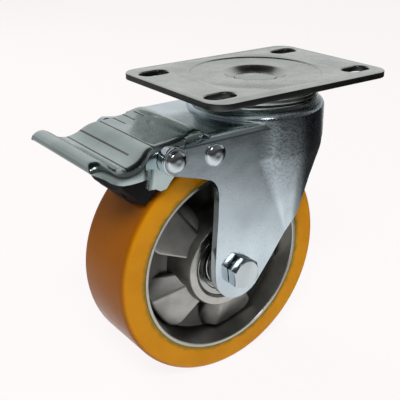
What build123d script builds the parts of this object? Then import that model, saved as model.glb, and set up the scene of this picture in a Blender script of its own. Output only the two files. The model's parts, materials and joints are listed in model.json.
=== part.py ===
from build123d import *

import math
import os

os.makedirs("parts", exist_ok=True)

# Swivel castor with a foot pedal that brakes the wheel and locks the swivel.
# Millimetres. The origin is the centre of the top plate's upper face, on the
# swivel axis. +Z is up, +X is the way the castor leads, and the wheel trails
# behind the swivel axis towards -X, with its pedal beyond it.

# ---- top plate -------------------------------------------------------------
PLATE_LENGTH = 146.0
PLATE_WIDTH = 108.0
PLATE_THICK = 4.0
PLATE_CORNER_R = 12.0
SLOT_INSET_X = 16.0  # from the plate's end to the slot's middle
SLOT_INSET_Y = 18.0
SLOT_LENGTH = 19.0
SLOT_WIDTH = 11.0
DISH_R = 42.6  # the round panel pressed down in the middle of the plate
DISH_DEPTH = 0.8
DISH_STEP_RUN = 0.6
DIMPLE_TOP_R = 22.0  # the funnel that takes the king pin's head
DIMPLE_FLOOR_R = 15.6
DIMPLE_DEPTH = 3.9
BOSS_UNDER_R = 42.0
FUNNEL_RACE_GAP = 0.5  # between the funnel's root and the upper race's bore
FUNNEL_FOOT_R = 19.0

# ---- king pin --------------------------------------------------------------
KING_HEAD_R = 14.0
KING_HEAD_THICK = 2.9
KING_HEAD_EDGE_R = 1.0
KING_SHANK_R = 10.0
KING_THREAD_R = 8.0
KING_THREAD_LENGTH = 10.8
THREAD_RUN_IN = 0.5  # of the shank's shoulder above the disc's lower face
KING_NUT_FLATS = 24.0
KING_NUT_THICK = 8.0
RUNNING_FIT = 0.05

# ---- swivel bearing --------------------------------------------------------
RACE_INSIDE = 6.5  # from the circle of the balls in to the races' bore
UPPER_RACE_OUTSIDE = 8.0  # from the circle of the balls out to its edge
UPPER_RACE_NECK_INSET = 0.4
UPPER_RACE_NECK_HEIGHT = 4.2
UPPER_RACE_HEIGHT = 7.8
BALL_R = 3.175
BALL_PITCH_R = 34.0
BALL_LEAST_GAP = 0.7  # between two balls, on their circle
BALL_DROP = 0.1  # centres below the upper race
RACE_GAP = 0.6  # between the races, inboard of the balls
LOWER_RACE_LIP_REACH = 3.8
LOWER_RACE_HEIGHT = 3.8
LOWER_RACE_LIP_DROP = 0.5
LOWER_RACE_LIP_THICK = 1.3
LOWER_RACE_OUTSIDE = 4.5  # from the circle of the balls out to its edge
BALL_SEAT_FIT = 0.02
BALL_RUNNING_GAP = 0.15
SMALL_BALL_R = 2.38
SMALL_BALL_PITCH_R = 20.0
SMALL_BALL_LEAST_GAP = 2.0
SMALL_BALL_DROP = 0.6  # centres below the underside of the fork's crown
CUP_R = 25.0
CUP_THICK = 4.0
CUP_GAP = 1.2

# ---- swivel lock disc ------------------------------------------------------
DISC_R = 33.0
DISC_THICK = 3.0
NOTCH_COUNT = 24
NOTCH_DEPTH = 5.0
NOTCH_WIDTH = 4.6

# ---- fork, one pressed sheet -----------------------------------------------
SHEET = 5.0
CROWN_R = 46.6
CROWN_EDGE_R = 4.2
WEB_DROP = 4.5  # from the crown's top to the flat web behind it
WEB_BEND_R = 5.0
WEB_REAR_X = -66.0
FORK_WIDTH = 80.0
BLEND_R = 25.0  # hollow curve where the round crown runs into the flat sides
CROWN_STRAIGHT = 28.0  # height of the crown before it starts to narrow
CROWN_FADE_END = 11.0  # above the axle, where the legs are flat
CROWN_FADE_R = 40.05
SKIRT_DEPTH = 21.5
SKIRT_FRONT_X = 33.0  # where the skirt's edge turns down into the legs
LEG_END_R = 19.4
ARM_END_R = 9.0
ARM_DROP = 1.8  # of the arms' top edge below the web's, where they meet
LEG_HOLE_FIT = 0.1

# ---- wheel -----------------------------------------------------------------
TRAIL = 43.3
AXLE_DROP = 119.0
WHEEL_R = 80.0
TYRE_WIDTH = 50.0
TYRE_EDGE_R = 3.8
RIM_R = 62.9
RIM_WIDTH = 49.6
RIM_LIP = 2.0
RIM_FLOOR_R = 56.8
RIM_KEY_R = 65.0  # rib round the rim that keys the tread
RIM_KEY_WIDTH = 14.0
WHEEL_WEB_THICK = 14.0
HUB_R = 30.5
HUB_WIDTH = 54.0
HUB_FOOT_R = 36.0
HUB_LEAD_IN = 1.7
BORE_SHOULDER_R = 21.5
PAD_COUNT = 5
PAD_SPAN = 48.0
PAD_FIRST = 65.0  # direction of the first pad's middle, from +X up to +Z
PAD_INNER_R = 31.5
PAD_OUTER_R = 56.0
PAD_HUB_FACE = 21.5
PAD_RIM_FACE = 14.5

# ---- wheel bearings, 20 x 47 x 14 ------------------------------------------
BEARING_BORE_R = 10.0
BEARING_OUTER_R = 23.5
BEARING_WIDTH = 14.0
BEARING_INSET = 1.0
INNER_RING_R = 14.3
OUTER_RING_BORE_R = 18.9
WHEEL_BALL_R = 3.97
WHEEL_BALL_PITCH_R = 16.75
WHEEL_BALL_COUNT = 8
SHIELD_THICK = 0.8
SHIELD_INSET = 1.0
SHIELD_GAP = 0.3

# ---- axle ------------------------------------------------------------------
AXLE_R = 6.0
AXLE_HEAD_FLATS = 19.0
AXLE_HEAD_THICK = 7.6
AXLE_HEAD_TURN = 36.0
AXLE_WASHER_R = 12.0
AXLE_WASHER_THICK = 2.5
AXLE_NUT_FLATS = 19.0
AXLE_NUT_THICK = 12.0
AXLE_END_PROUD = 2.0
TUBE_BORE_FIT = 0.1
SPACER_R = 13.0
BUSH_NOSE_R = 13.3
BUSH_NOSE_LENGTH = 2.0
BUSH_FLANGE_R = 17.0

# ---- pedal -----------------------------------------------------------------
PEDAL_PIVOT_BACK = 26.5  # behind the web's rear edge
PEDAL_PIVOT_DROP = 10.5  # below the web's top
PEDAL_PIN_R = 5.0
PEDAL_PIN_HEAD_R = 6.75
PEDAL_PIN_HEAD_THICK = 2.6
PEDAL_WASHER_R = 8.5
PEDAL_WASHER_THICK = 1.5
PEDAL_SHEET = 3.0
PEDAL_BEND_R = 5.0
PEDAL_SIDE_GAP = 0.6  # between its rear flanges and the fork's arms
PEDAL_TREAD_WIDTH = 78.4
PEDAL_TRAVEL = 20.0
CAM_HALF_WIDTH = 12.0
CAM_HUB_R = 7.9
CAM_LOBE_R = 3.3
CAM_LEVER_GAP = 0.35  # between the lobe and the lever, at rest
CAM_LOBE_ANGLE = -120.0
CAM_SEAT_RISE = 9.0  # from the pivot to the pedal's upper face over the cam
CAM_TOP_GAP = 0.3

# ---- brake lever -----------------------------------------------------------
LEVER_PIVOT_FORWARD = 2.5  # ahead of the web's rear edge
LEVER_PIVOT_DROP = 12.5  # below the web's top
LEVER_PIN_R = 4.0
LEVER_PIN_HEAD_R = 7.3
LEVER_PIN_HEAD_THICK = 3.0
LEVER_EYE_R = 6.3
LEVER_THICK = 4.0
LEVER_WIDTH = 30.0
LEVER_RATIO = 0.125  # lever travel for each degree of the pedal
LEVER_FRONT_DROP = 0.5
LEVER_TAIL = [(0.0, -1.5), (-33.5, -10.0), (-50.0, -23.6)]  # from its pin
LEVER_FRONT_WIDTH = 18.0
LEVER_FRONT_REACH = 37.0  # ahead of its pin
TOOTH_REACH = 32.9
TOOTH_LENGTH = 3.8
TOOTH_WIDTH = 3.8
TOOTH_GAP = 0.35  # below the lock disc, at rest
BLOCK_WIDTH = 46.0
BLOCK_CORNER_RUN = 12.0  # across the block's leading corners
BLOCK_CORNER_CUT = 3.5
BLOCK_APPLIED_GAP = 0.15
BLOCK_START = 116.0
BLOCK_END = 139.5
BLOCK_DEPTH = 22.0
BLOCK_NOSE_CUT = 4.0  # taken off the block's outer leading corner
BLOCK_NOSE_TURN = 2.6
BLOCK_COVER = 3.0
BLOCK_SHOULDER_BACK = 7.0  # its upper shoulder, from the lever's knee
BLOCK_SHOULDER_DROP = 3.6  # and below its cover there
BLOCK_ROOT_SHARE = 0.42  # how far it reaches up the lever's arm
RIVET_R = 2.5
RIVET_HEAD_R = 4.2
RIVET_HEAD_THICK = 1.6
RIVET_SPACING = 16.0

# ---- return spring ---------------------------------------------------------
WIRE_R = 0.8
COIL_R = 5.2
COIL_PITCH = 1.8
COIL_TURNS = 4.5
COIL_SIDE_GAP = 1.2
LEG_REACH = 12.5  # of the leg below the lever, from the lever's pin
LEG_GAP = 0.8  # between that leg and the lever, taken up as the lever moves
HOOK_REACH = 9.0
HOOK_GAP = 0.25  # between the hook and the web's rear edge
SPRING_SPANS = 30

# ---- levels and places that follow from the sizes above ---------------------
race_bore_r = BALL_PITCH_R - RACE_INSIDE
upper_race_r = BALL_PITCH_R + UPPER_RACE_OUTSIDE
lower_race_r = BALL_PITCH_R + LOWER_RACE_OUTSIDE
lip_r = lower_race_r + LOWER_RACE_LIP_REACH
funnel_under_r = race_bore_r - FUNNEL_RACE_GAP
plate_under = -(PLATE_THICK + DISH_DEPTH)
upper_race_bottom = plate_under - UPPER_RACE_HEIGHT
ball_level = upper_race_bottom - BALL_DROP
lower_race_top = upper_race_bottom - RACE_GAP
lip_top = lower_race_top - LOWER_RACE_LIP_DROP
crown_top = lower_race_top - LOWER_RACE_HEIGHT
crown_under = crown_top - SHEET
web_top = crown_top - WEB_DROP
web_under = web_top - SHEET
skirt_bottom = crown_top - SKIRT_DEPTH
fade_start = crown_top - CROWN_STRAIGHT
fade_end = CROWN_FADE_END - AXLE_DROP
half_fork = FORK_WIDTH / 2
inner_half = half_fork - SHEET
across = FORK_WIDTH  # more than half of every width
cup_top = crown_under - CUP_GAP
cup_bottom = cup_top - CUP_THICK
disc_top = cup_bottom
disc_bottom = disc_top - DISC_THICK
thread_top = disc_bottom + THREAD_RUN_IN
small_ball_level = crown_under - SMALL_BALL_DROP
bearing_face = HUB_WIDTH / 2 - BEARING_INSET
bearing_inner_face = bearing_face - BEARING_WIDTH
bearing_middle = bearing_face - BEARING_WIDTH / 2
pedal_half = inner_half - PEDAL_SIDE_GAP
pedal_x = WEB_REAR_X - PEDAL_PIVOT_BACK
pedal_z = web_top - PEDAL_PIVOT_DROP
lever_x = WEB_REAR_X + LEVER_PIVOT_FORWARD
lever_z = web_top - LEVER_PIVOT_DROP
lever_travel = PEDAL_TRAVEL * LEVER_RATIO
lever_tail = [(lever_x + x, lever_z + z) for x, z in LEVER_TAIL]
axle = Pos(-TRAIL, 0, -AXLE_DROP)
pedal_axis = Pos(pedal_x, 0, pedal_z)
lever_axis = Pos(lever_x, 0, lever_z)


def ring(r_out, r_in, z_low, z_high):
    """A plain ring about Z, or a disc where r_in is 0."""
    solid = Pos(0, 0, (z_low + z_high) / 2) * Cylinder(r_out, z_high - z_low)
    if r_in <= 0:
        return solid
    return solid - Pos(0, 0, (z_low + z_high) / 2) * Cylinder(r_in, z_high - z_low + 2)


def turned(outline):
    """The outline, of (radius, z) points, turned about Z."""
    points = [(r, 0, z) for r, z in outline]
    return revolve(make_face(Polyline(*points, close=True)), axis=Axis.Z)


def turned_y(outline):
    """The outline, of (radius, y) points, turned about Y."""
    points = [(r, y, 0) for r, y in outline]
    return revolve(make_face(Polyline(*points, close=True)), axis=Axis.Y)


def ring_y(r_out, r_in, y_low, y_high):
    """A plain ring about Y, or a disc where r_in is 0."""
    return turned_y([(r_in, y_low), (r_out, y_low), (r_out, y_high), (r_in, y_high)])


def slab(outline, y_low, y_high):
    """The outline, of (x, z) points, given width along Y."""
    points = [(x, y_low, z) for x, z in outline]
    face = make_face(Polyline(*points, close=True))
    return extrude(face, amount=y_high - y_low, dir=(0, 1, 0))


def strip_outline(path, thick):
    """The outline of a strip of one thickness along a path of (x, z) points."""
    left = []
    right = []
    for index, (x, z) in enumerate(path):
        before = path[max(index - 1, 0)]
        after = path[min(index + 1, len(path) - 1)]
        into = math.atan2(z - before[1], x - before[0]) if index > 0 else None
        out = math.atan2(after[1] - z, after[0] - x) if index < len(path) - 1 else None
        into = out if into is None else into
        out = into if out is None else out
        middle = (into + out) / 2
        reach = thick / 2 / math.cos((out - into) / 2)
        left.append((x - reach * math.sin(middle), z + reach * math.cos(middle)))
        right.append((x + reach * math.sin(middle), z - reach * math.cos(middle)))
    return left + right[::-1]


def hexagon_y(flats, y_low, y_high, turn, chamfered_high):
    """A hexagon about Y whose corners are chamfered at one end."""
    radius = flats / math.sqrt(3)
    points = []
    for corner in range(6):
        angle = math.radians(60 * corner + turn)
        points.append((radius * math.cos(angle), radius * math.sin(angle)))
    fall = (radius - flats / 2) * math.tan(math.radians(30)) + 0.05
    rim = radius + 0.1
    if chamfered_high:
        cone = [(0, y_low), (rim, y_low), (rim, y_high - fall), (flats / 2, y_high), (0, y_high)]
    else:
        cone = [(0, y_high), (rim, y_high), (rim, y_low + fall), (flats / 2, y_low), (0, y_low)]
    return slab(points, y_low, y_high) & turned_y(cone)


def torus_y(pitch_r, tube_r, y):
    return Pos(0, y, 0) * Rot(90, 0, 0) * Torus(pitch_r, tube_r)


def wheel_point(radius, angle):
    """The (x, z) point at a radius and an angle about the axle."""
    turn = math.radians(angle)
    return (-TRAIL + radius * math.cos(turn), -AXLE_DROP + radius * math.sin(turn))


def domed_pin_y(radius, head_r, head_thick, seat):
    """A pin along Y with a low domed head outside each seat."""
    flat = head_r * 0.35
    outline = [(0, -seat - head_thick), (flat, -seat - head_thick)]
    steps = 5
    for step in range(1, steps + 1):
        turn = math.radians(90 * step / steps)
        r = flat + (head_r - flat) * math.sin(turn)
        outline.append((r, -seat - head_thick * math.cos(turn)))
    outline.append((radius, -seat))
    mirrored = [(r, -y) for r, y in reversed(outline)]
    return turned_y(outline + mirrored)


# ---- top plate -------------------------------------------------------------
def make_top_plate():
    plate = extrude(RectangleRounded(PLATE_LENGTH, PLATE_WIDTH, PLATE_CORNER_R), -PLATE_THICK)
    slot_x = PLATE_LENGTH / 2 - SLOT_INSET_X
    slot_y = PLATE_WIDTH / 2 - SLOT_INSET_Y
    for x in (-slot_x, slot_x):
        for y in (-slot_y, slot_y):
            slot = Pos(x, y, 1) * SlotOverall(SLOT_LENGTH, SLOT_WIDTH)
            plate -= extrude(slot, -(PLATE_THICK + 2))
    plate += turned([
        (0, -1),
        (BOSS_UNDER_R, -1),
        (BOSS_UNDER_R, plate_under),
        (funnel_under_r, plate_under),
        (FUNNEL_FOOT_R, -DIMPLE_DEPTH - PLATE_THICK),
        (0, -DIMPLE_DEPTH - PLATE_THICK),
    ])
    plate -= turned([
        (0, 1),
        (DISH_R, 1),
        (DISH_R, 0),
        (DISH_R - DISH_STEP_RUN, -DISH_DEPTH),
        (DIMPLE_TOP_R, -DISH_DEPTH),
        (DIMPLE_FLOOR_R, -DIMPLE_DEPTH),
        (0, -DIMPLE_DEPTH),
    ])
    return plate - ring(KING_SHANK_R, 0, 2 * plate_under - DIMPLE_DEPTH, PLATE_THICK)


# ---- swivel bearing --------------------------------------------------------
def make_upper_race():
    neck_end = plate_under - UPPER_RACE_NECK_HEIGHT
    neck_r = upper_race_r - UPPER_RACE_NECK_INSET
    race = turned([
        (race_bore_r, plate_under),
        (neck_r, plate_under),
        (neck_r, neck_end),
        (upper_race_r, neck_end),
        (upper_race_r, upper_race_bottom),
        (race_bore_r, upper_race_bottom),
    ])
    return race - Pos(0, 0, ball_level) * Torus(BALL_PITCH_R, BALL_R + BALL_RUNNING_GAP)


def make_lower_race():
    lip_bottom = lip_top - LOWER_RACE_LIP_THICK
    race = turned([
        (race_bore_r, lower_race_top),
        (lower_race_r, lower_race_top),
        (lower_race_r, lip_top),
        (lip_r, lip_top),
        (lip_r, lip_bottom),
        (lower_race_r, lip_bottom),
        (lower_race_r, crown_top),
        (race_bore_r, crown_top),
    ])
    return race - Pos(0, 0, ball_level) * Torus(BALL_PITCH_R, BALL_R + BALL_SEAT_FIT)


def ball_circle(least_gap, pitch_r, radius, level):
    """As many balls on a circle about Z as it holds with the least gap between two."""
    count = int(math.tau * pitch_r / (2 * radius + least_gap))
    balls = []
    for index in range(count):
        balls.append(Rot(0, 0, 360 * index / count) * Pos(pitch_r, 0, level) * Sphere(radius))
    return Compound(children=balls)


def make_king_pin():
    head_top = -DIMPLE_DEPTH + KING_HEAD_THICK
    shank = ring(KING_SHANK_R, 0, thread_top, -DIMPLE_DEPTH + 1)
    head = ring(KING_HEAD_R, 0, -DIMPLE_DEPTH, head_top)
    head = fillet(head.edges().group_by(Axis.Z)[-1], KING_HEAD_EDGE_R)
    thread = ring(KING_THREAD_R, 0, thread_top - KING_THREAD_LENGTH, thread_top + 1)
    thread = chamfer(thread.edges().group_by(Axis.Z)[0], 1.2)
    return head + shank + thread


def make_bottom_cup():
    cup = ring(CUP_R, KING_SHANK_R, cup_bottom, cup_top)
    groove = Torus(SMALL_BALL_PITCH_R, SMALL_BALL_R + BALL_RUNNING_GAP)
    return cup - Pos(0, 0, small_ball_level) * groove


def make_lock_disc():
    disc = ring(DISC_R, KING_SHANK_R, disc_bottom, disc_top)
    notch = Pos(DISC_R, 0, (disc_bottom + disc_top) / 2)
    notch = notch * Box(2 * NOTCH_DEPTH, NOTCH_WIDTH, DISC_THICK + 2)
    for index in range(NOTCH_COUNT):
        disc -= Rot(0, 0, 360 * index / NOTCH_COUNT) * notch
    return disc


def make_king_nut():
    face = RegularPolygon(KING_NUT_FLATS / 2, 6, major_radius=False)
    nut = Pos(0, 0, disc_bottom) * extrude(face, -KING_NUT_THICK)
    rim = KING_NUT_FLATS / math.sqrt(3) + 0.1
    low = disc_bottom - KING_NUT_THICK
    nut &= turned([
        (0, disc_bottom),
        (rim, disc_bottom),
        (rim, low + 1.2),
        (KING_NUT_FLATS / 2, low),
        (0, low),
    ])
    return nut - ring(KING_THREAD_R, 0, low - 1, disc_bottom + 1)


# ---- fork ------------------------------------------------------------------
def crown_outline(radius, half, blend, level, rear, closed_front):
    """Plan of the fork's sides: flat, then a hollow curve into the round crown.

    The hollow curve's centre stays where the outer radii put it, so that the
    inner and outer skins are one sheet thickness apart.
    """
    centre_y = half + blend
    centre_x = -math.sqrt((radius + blend) ** 2 - centre_y**2)
    share = radius / (radius + blend)
    meet = (centre_x * share, centre_y * share)
    turn = math.atan2(meet[1] - centre_y, meet[0] - centre_x)
    between = (turn - math.pi / 2) / 2
    middle = (centre_x + blend * math.cos(between), centre_y + blend * math.sin(between))

    def at(point, side):
        return (point[0], side * point[1], level)

    edges = []
    for side in (1, -1):
        start = (centre_x, half)
        edges.append(ThreePointArc(at(start, side), at(middle, side), at(meet, side)))
        edges.append(Line((rear, side * half, level), at(start, side)))
    if closed_front:
        edges.append(ThreePointArc(at(meet, 1), (radius, 0, level), at(meet, -1)))
    else:
        inner = (meet[0] * 0.6, meet[1] * 0.6)
        edges.append(Line(at(meet, 1), at(inner, 1)))
        edges.append(Line(at(inner, 1), at(inner, -1)))
        edges.append(Line(at(inner, -1), at(meet, -1)))
    edges.append(Line((rear, half, level), (rear, -half, level)))
    return make_face(Wire(edges))


def fork_envelope(inset):
    """The solid inside the fork's outer skin, or its inner skin when inset."""
    rear = pedal_x - 4 * ARM_END_R
    radius = CROWN_R - inset
    half = half_fork - inset
    blend = BLEND_R + inset
    web = web_top - inset
    bend = max(WEB_BEND_R - inset, 1.5)
    shoulders = extrude(crown_outline(radius, half, blend, web, rear, False), fade_start - web)
    top_edges = shoulders.edges().group_by(Axis.Z)[-1]
    flat_edges = top_edges.filter_by(GeomType.LINE).filter_by(Axis.X)
    curved_edges = top_edges.filter_by(GeomType.CIRCLE)
    shoulders = fillet(flat_edges + curved_edges, bend)
    crown = ring(radius, 0, fade_start, crown_top - inset)
    crown = fillet(crown.edges().group_by(Axis.Z)[-1], max(CROWN_EDGE_R - inset, 1.5))
    upper = crown_outline(radius, half, blend, fade_start, rear, True)
    lower = crown_outline(CROWN_FADE_R - inset, half, blend, fade_end, rear, True)
    fade = loft([upper, lower], ruled=True)
    foot = extrude(lower, -(CROWN_FADE_END + 2 * LEG_END_R))
    return shoulders + crown + fade + foot


# The leg's front edge, from the skirt's corner to the leg's end: the share of
# the way back, then the share of the way down.
LEG_FRONT = [
    (0.12, 0.0442),
    (0.16, 0.1075),
    (0.28, 0.196),
    (0.39, 0.3224),
    (0.48, 0.4867),
    (0.576, 0.6662),
    (0.662, 0.7219),
    (0.832, 0.8609),
]
LEG_FRONT_FOOT = (26.3, 1.4)  # where that edge nears the leg's round end, from the axle
LEG_REAR = [(-19.7, 7.0), (-19.0, 21.0), (-18.3, 31.0), (-17.6, 41.0), (-17.1, 55.0)]
# The hollow between leg and arm, and the arm's top edge, from the pedal's pin.
THROAT = [
    (31.9, -27.5),
    (30.8, -23.5),
    (28.7, -20.2),
    (25.9, -18.0),
    (22.7, -16.9),
    (17.6, -14.9),
]
ARM_TOP = [(7.0, 6.6), (17.7, 7.2), (24.3, 8.3)]


def round_end(centre_x, centre_z, radius, first, last, step):
    """Points round the end of a leg or arm, from one angle to another."""
    points = []
    for angle in range(first, last, step):
        turn = math.radians(angle)
        points.append((centre_x + radius * math.cos(turn), centre_z + radius * math.sin(turn)))
    return points


def fork_side_outline():
    """The fork seen from the side, as (x, z) points: crown, leg and rear arm."""
    ahead = CROWN_R + SHEET
    foot = (LEG_FRONT_FOOT[0] - TRAIL, LEG_FRONT_FOOT[1] - AXLE_DROP)
    points = [(ahead, 0), (ahead, skirt_bottom), (SKIRT_FRONT_X, skirt_bottom)]
    for back, down in LEG_FRONT:
        x = SKIRT_FRONT_X + back * (foot[0] - SKIRT_FRONT_X)
        points.append((x, skirt_bottom + down * (foot[1] - skirt_bottom)))
    points.append(foot)
    points += round_end(-TRAIL, -AXLE_DROP, LEG_END_R, -34, -181, -12)
    points += [(x - TRAIL, z - AXLE_DROP) for x, z in LEG_REAR]
    points += [(x + pedal_x, z + pedal_z) for x, z in THROAT]
    points += round_end(pedal_x, pedal_z, ARM_END_R, -110, -251, -14)
    points += [(x + pedal_x, z + pedal_z) for x, z in ARM_TOP]
    points += [(WEB_REAR_X, web_top - ARM_DROP), (WEB_REAR_X, 0)]
    return points


def make_fork():
    fork = fork_envelope(0) - fork_envelope(SHEET)
    fork &= slab(fork_side_outline(), -across, across)
    reach = 2 * (PEDAL_PIVOT_BACK + ARM_END_R)
    opening = Box(2 * reach, 2 * (half_fork - WEB_BEND_R), 2 * SHEET + 2 * WEB_DROP)
    fork -= Pos(WEB_REAR_X - reach, 0, web_top) * opening
    fork -= ring(KING_SHANK_R + RUNNING_FIT, 0, web_under, 0)
    groove = Torus(SMALL_BALL_PITCH_R, SMALL_BALL_R + BALL_SEAT_FIT)
    fork -= Pos(0, 0, small_ball_level) * groove
    fork -= axle * ring_y(AXLE_R + LEG_HOLE_FIT, 0, -across, across)
    fork -= pedal_axis * ring_y(PEDAL_PIN_R, 0, -across, across)
    fork -= lever_axis * ring_y(LEVER_PIN_R, 0, -across, across)
    return fork


# ---- wheel -----------------------------------------------------------------
def make_tread():
    half = TYRE_WIDTH / 2
    key = RIM_KEY_WIDTH / 2
    outline = [
        (RIM_R, -half),
        (WHEEL_R, -half),
        (WHEEL_R, half),
        (RIM_R, half),
        (RIM_R, key + 1),
        (RIM_KEY_R, key),
        (RIM_KEY_R, -key),
        (RIM_R, -key - 1),
    ]
    tyre = turned_y(outline)
    outer = [e for e in tyre.edges().filter_by(GeomType.CIRCLE) if e.radius > WHEEL_R - 0.01]
    return axle * fillet(outer, TYRE_EDGE_R)


def make_wheel_centre():
    rim = RIM_WIDTH / 2
    web = WHEEL_WEB_THICK / 2
    key = RIM_KEY_WIDTH / 2
    hub = HUB_WIDTH / 2
    half = [
        (BORE_SHOULDER_R, 0),
        (BORE_SHOULDER_R, bearing_inner_face),
        (BEARING_OUTER_R, bearing_inner_face),
        (BEARING_OUTER_R, bearing_face),
        (BEARING_OUTER_R + HUB_LEAD_IN, hub),
        (HUB_R, hub),
        (HUB_FOOT_R, web),
        (RIM_FLOOR_R, web),
        (RIM_R - RIM_LIP, rim),
        (RIM_R, rim),
        (RIM_R, key + 1),
        (RIM_KEY_R, key),
    ]
    other = [(r, -y) for r, y in reversed(half[1:])]
    centre = turned_y(half + other)
    pad_outline = [
        (PAD_INNER_R, web - 2),
        (PAD_INNER_R, PAD_HUB_FACE),
        (PAD_OUTER_R - 2, PAD_RIM_FACE),
        (PAD_OUTER_R, PAD_RIM_FACE - 2),
        (PAD_OUTER_R, web - 2),
    ]
    points = [(r, y, 0) for r, y in pad_outline]
    pad = revolve(make_face(Polyline(*points, close=True)), Axis.Y, PAD_SPAN)
    pad = Rot(0, -PAD_SPAN / 2, 0) * pad
    for index in range(PAD_COUNT):
        place = Rot(0, -(PAD_FIRST + 360 * index / PAD_COUNT), 0)
        centre += place * pad
        centre += place * mirror(pad, Plane.XZ)
    return axle * centre


def make_bearing_outer(side):
    outer = ring_y(BEARING_OUTER_R, OUTER_RING_BORE_R, bearing_inner_face, bearing_face)
    outer -= torus_y(WHEEL_BALL_PITCH_R, WHEEL_BALL_R + BALL_SEAT_FIT, bearing_middle)
    return axle * (outer if side > 0 else mirror(outer, Plane.XZ))


def make_bearing_inner(side):
    inner = ring_y(INNER_RING_R, BEARING_BORE_R, bearing_inner_face, bearing_face)
    inner -= torus_y(WHEEL_BALL_PITCH_R, WHEEL_BALL_R + BALL_RUNNING_GAP, bearing_middle)
    return axle * (inner if side > 0 else mirror(inner, Plane.XZ))


def make_bearing_balls():
    balls = []
    for side in (-1, 1):
        for index in range(WHEEL_BALL_COUNT):
            place = axle * Pos(0, side * bearing_middle, 0)
            place = place * Rot(0, 360 * index / WHEEL_BALL_COUNT, 0)
            balls.append(place * Pos(WHEEL_BALL_PITCH_R, 0, 0) * Sphere(WHEEL_BALL_R))
    return Compound(children=balls)


def make_bearing_shields():
    shields = []
    inner_r = INNER_RING_R + SHIELD_GAP
    for side in (-1, 1):
        outer_y = side * (bearing_face - SHIELD_INSET - SHIELD_THICK / 2)
        inner_y = side * (bearing_inner_face + SHIELD_INSET + SHIELD_THICK / 2)
        for y in (outer_y, inner_y):
            low, high = y - SHIELD_THICK / 2, y + SHIELD_THICK / 2
            shields.append(axle * ring_y(OUTER_RING_BORE_R, inner_r, low, high))
    return Compound(children=shields)


# ---- axle ------------------------------------------------------------------
def make_axle_bolt():
    head = hexagon_y(
        AXLE_HEAD_FLATS, -half_fork - AXLE_HEAD_THICK, -half_fork, AXLE_HEAD_TURN, False
    )
    end = half_fork + AXLE_WASHER_THICK + AXLE_NUT_THICK + AXLE_END_PROUD
    shank = ring_y(AXLE_R, 0, -half_fork - 1, end)
    shank = chamfer(shank.edges().sort_by(Axis.Y)[-1], 0.8)
    return axle * (head + shank)


def make_axle_washer():
    high = half_fork + AXLE_WASHER_THICK
    return axle * ring_y(AXLE_WASHER_R, AXLE_R, half_fork, high)


def make_axle_nut():
    low = half_fork + AXLE_WASHER_THICK
    high = low + AXLE_NUT_THICK
    body = hexagon_y(AXLE_NUT_FLATS, low, high - 3, AXLE_HEAD_TURN, True)
    collar = ring_y(AXLE_NUT_FLATS / 2 - 0.6, 0, high - 4, high)
    collar = chamfer(collar.edges().sort_by(Axis.Y)[-1], 1.2)
    return axle * ((body + collar) - ring_y(AXLE_R, 0, low - 1, high + 1))


def make_axle_tube():
    bore = AXLE_R + TUBE_BORE_FIT
    return axle * ring_y(BEARING_BORE_R, bore, -inner_half, inner_half)


def make_bearing_spacer():
    reach = bearing_inner_face
    return axle * ring_y(SPACER_R, BEARING_BORE_R, -reach, reach)


def make_side_bush(side):
    nose_end = bearing_face + BUSH_NOSE_LENGTH
    bush = turned_y([
        (BEARING_BORE_R, bearing_face),
        (BUSH_NOSE_R, bearing_face),
        (BUSH_NOSE_R, nose_end),
        (BUSH_FLANGE_R, nose_end),
        (BUSH_FLANGE_R, inner_half),
        (BEARING_BORE_R, inner_half),
    ])
    return axle * (bush if side > 0 else mirror(bush, Plane.XZ))


# ---- pedal -----------------------------------------------------------------
# Stations along the pedal, from its pin: x, height of the upper face, and half
# width as a share of the way from the rear channel's (0) to the tread's (1).
PEDAL_STATIONS = [
    (-53.7, 4.8, 0.30),
    (-53.2, 7.0, 0.45),
    (-51.9, 8.4, 0.60),
    (-49.5, 9.0, 0.76),
    (-46.5, 8.8, 0.88),
    (-42.0, 6.3, 0.97),
    (-38.0, 3.2, 1.00),
    (-33.5, 1.6, 1.00),
    (-28.2, 1.6, 1.00),
    (-23.5, 2.9, 0.96),
    (-20.0, 4.9, 0.84),
    (-16.5, 7.1, 0.55),
    (-13.0, 8.5, 0.22),
    (-9.0, 8.95, 0.04),
    (-4.5, 9.0, 0.00),
    (2.5, 9.5, 0.00),
    (8.5, 10.4, 0.00),
    (13.0, 11.2, 0.00),
    (16.5, 12.3, 0.00),
    (19.5, 12.8, 0.00),
    (22.3, 12.6, 0.00),
    (24.2, 11.9, 0.00),
]
# Lower edge of the pedal's side walls, from the tip to the rear edge.
PEDAL_LOWER_EDGE = [
    (-52.1, 2.6),
    (-48.5, 0.6),
    (-45.5, -1.2),
    (-42.0, -4.0),
    (-38.5, -6.0),
    (-34.0, -7.6),
    (-29.5, -8.0),
    (-17.5, -8.0),
    (-16.5, -9.0),
    (-16.0, -15.0),
    (-14.5, -17.0),
    (-8.5, -18.0),
    (-4.5, -20.5),
    (-0.5, -20.0),
    (2.0, -15.5),
    (4.5, -12.0),
    (9.5, -8.0),
    (11.5, -5.0),
    (11.5, 7.4),
]


def pedal_section(x, top, half, bend):
    """The section across the pedal's envelope at one station."""
    low = -across
    arc = bend * (1 - math.sqrt(0.5))
    edges = [
        Line((x, -half, low), (x, -half, top - bend)),
        ThreePointArc(
            (x, -half, top - bend), (x, -half + arc, top - arc), (x, -half + bend, top)
        ),
        Line((x, -half + bend, top), (x, half - bend, top)),
        ThreePointArc((x, half - bend, top), (x, half - arc, top - arc), (x, half, top - bend)),
        Line((x, half, top - bend), (x, half, low)),
        Line((x, half, low), (x, -half, low)),
    ]
    return make_face(Wire(edges))


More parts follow.
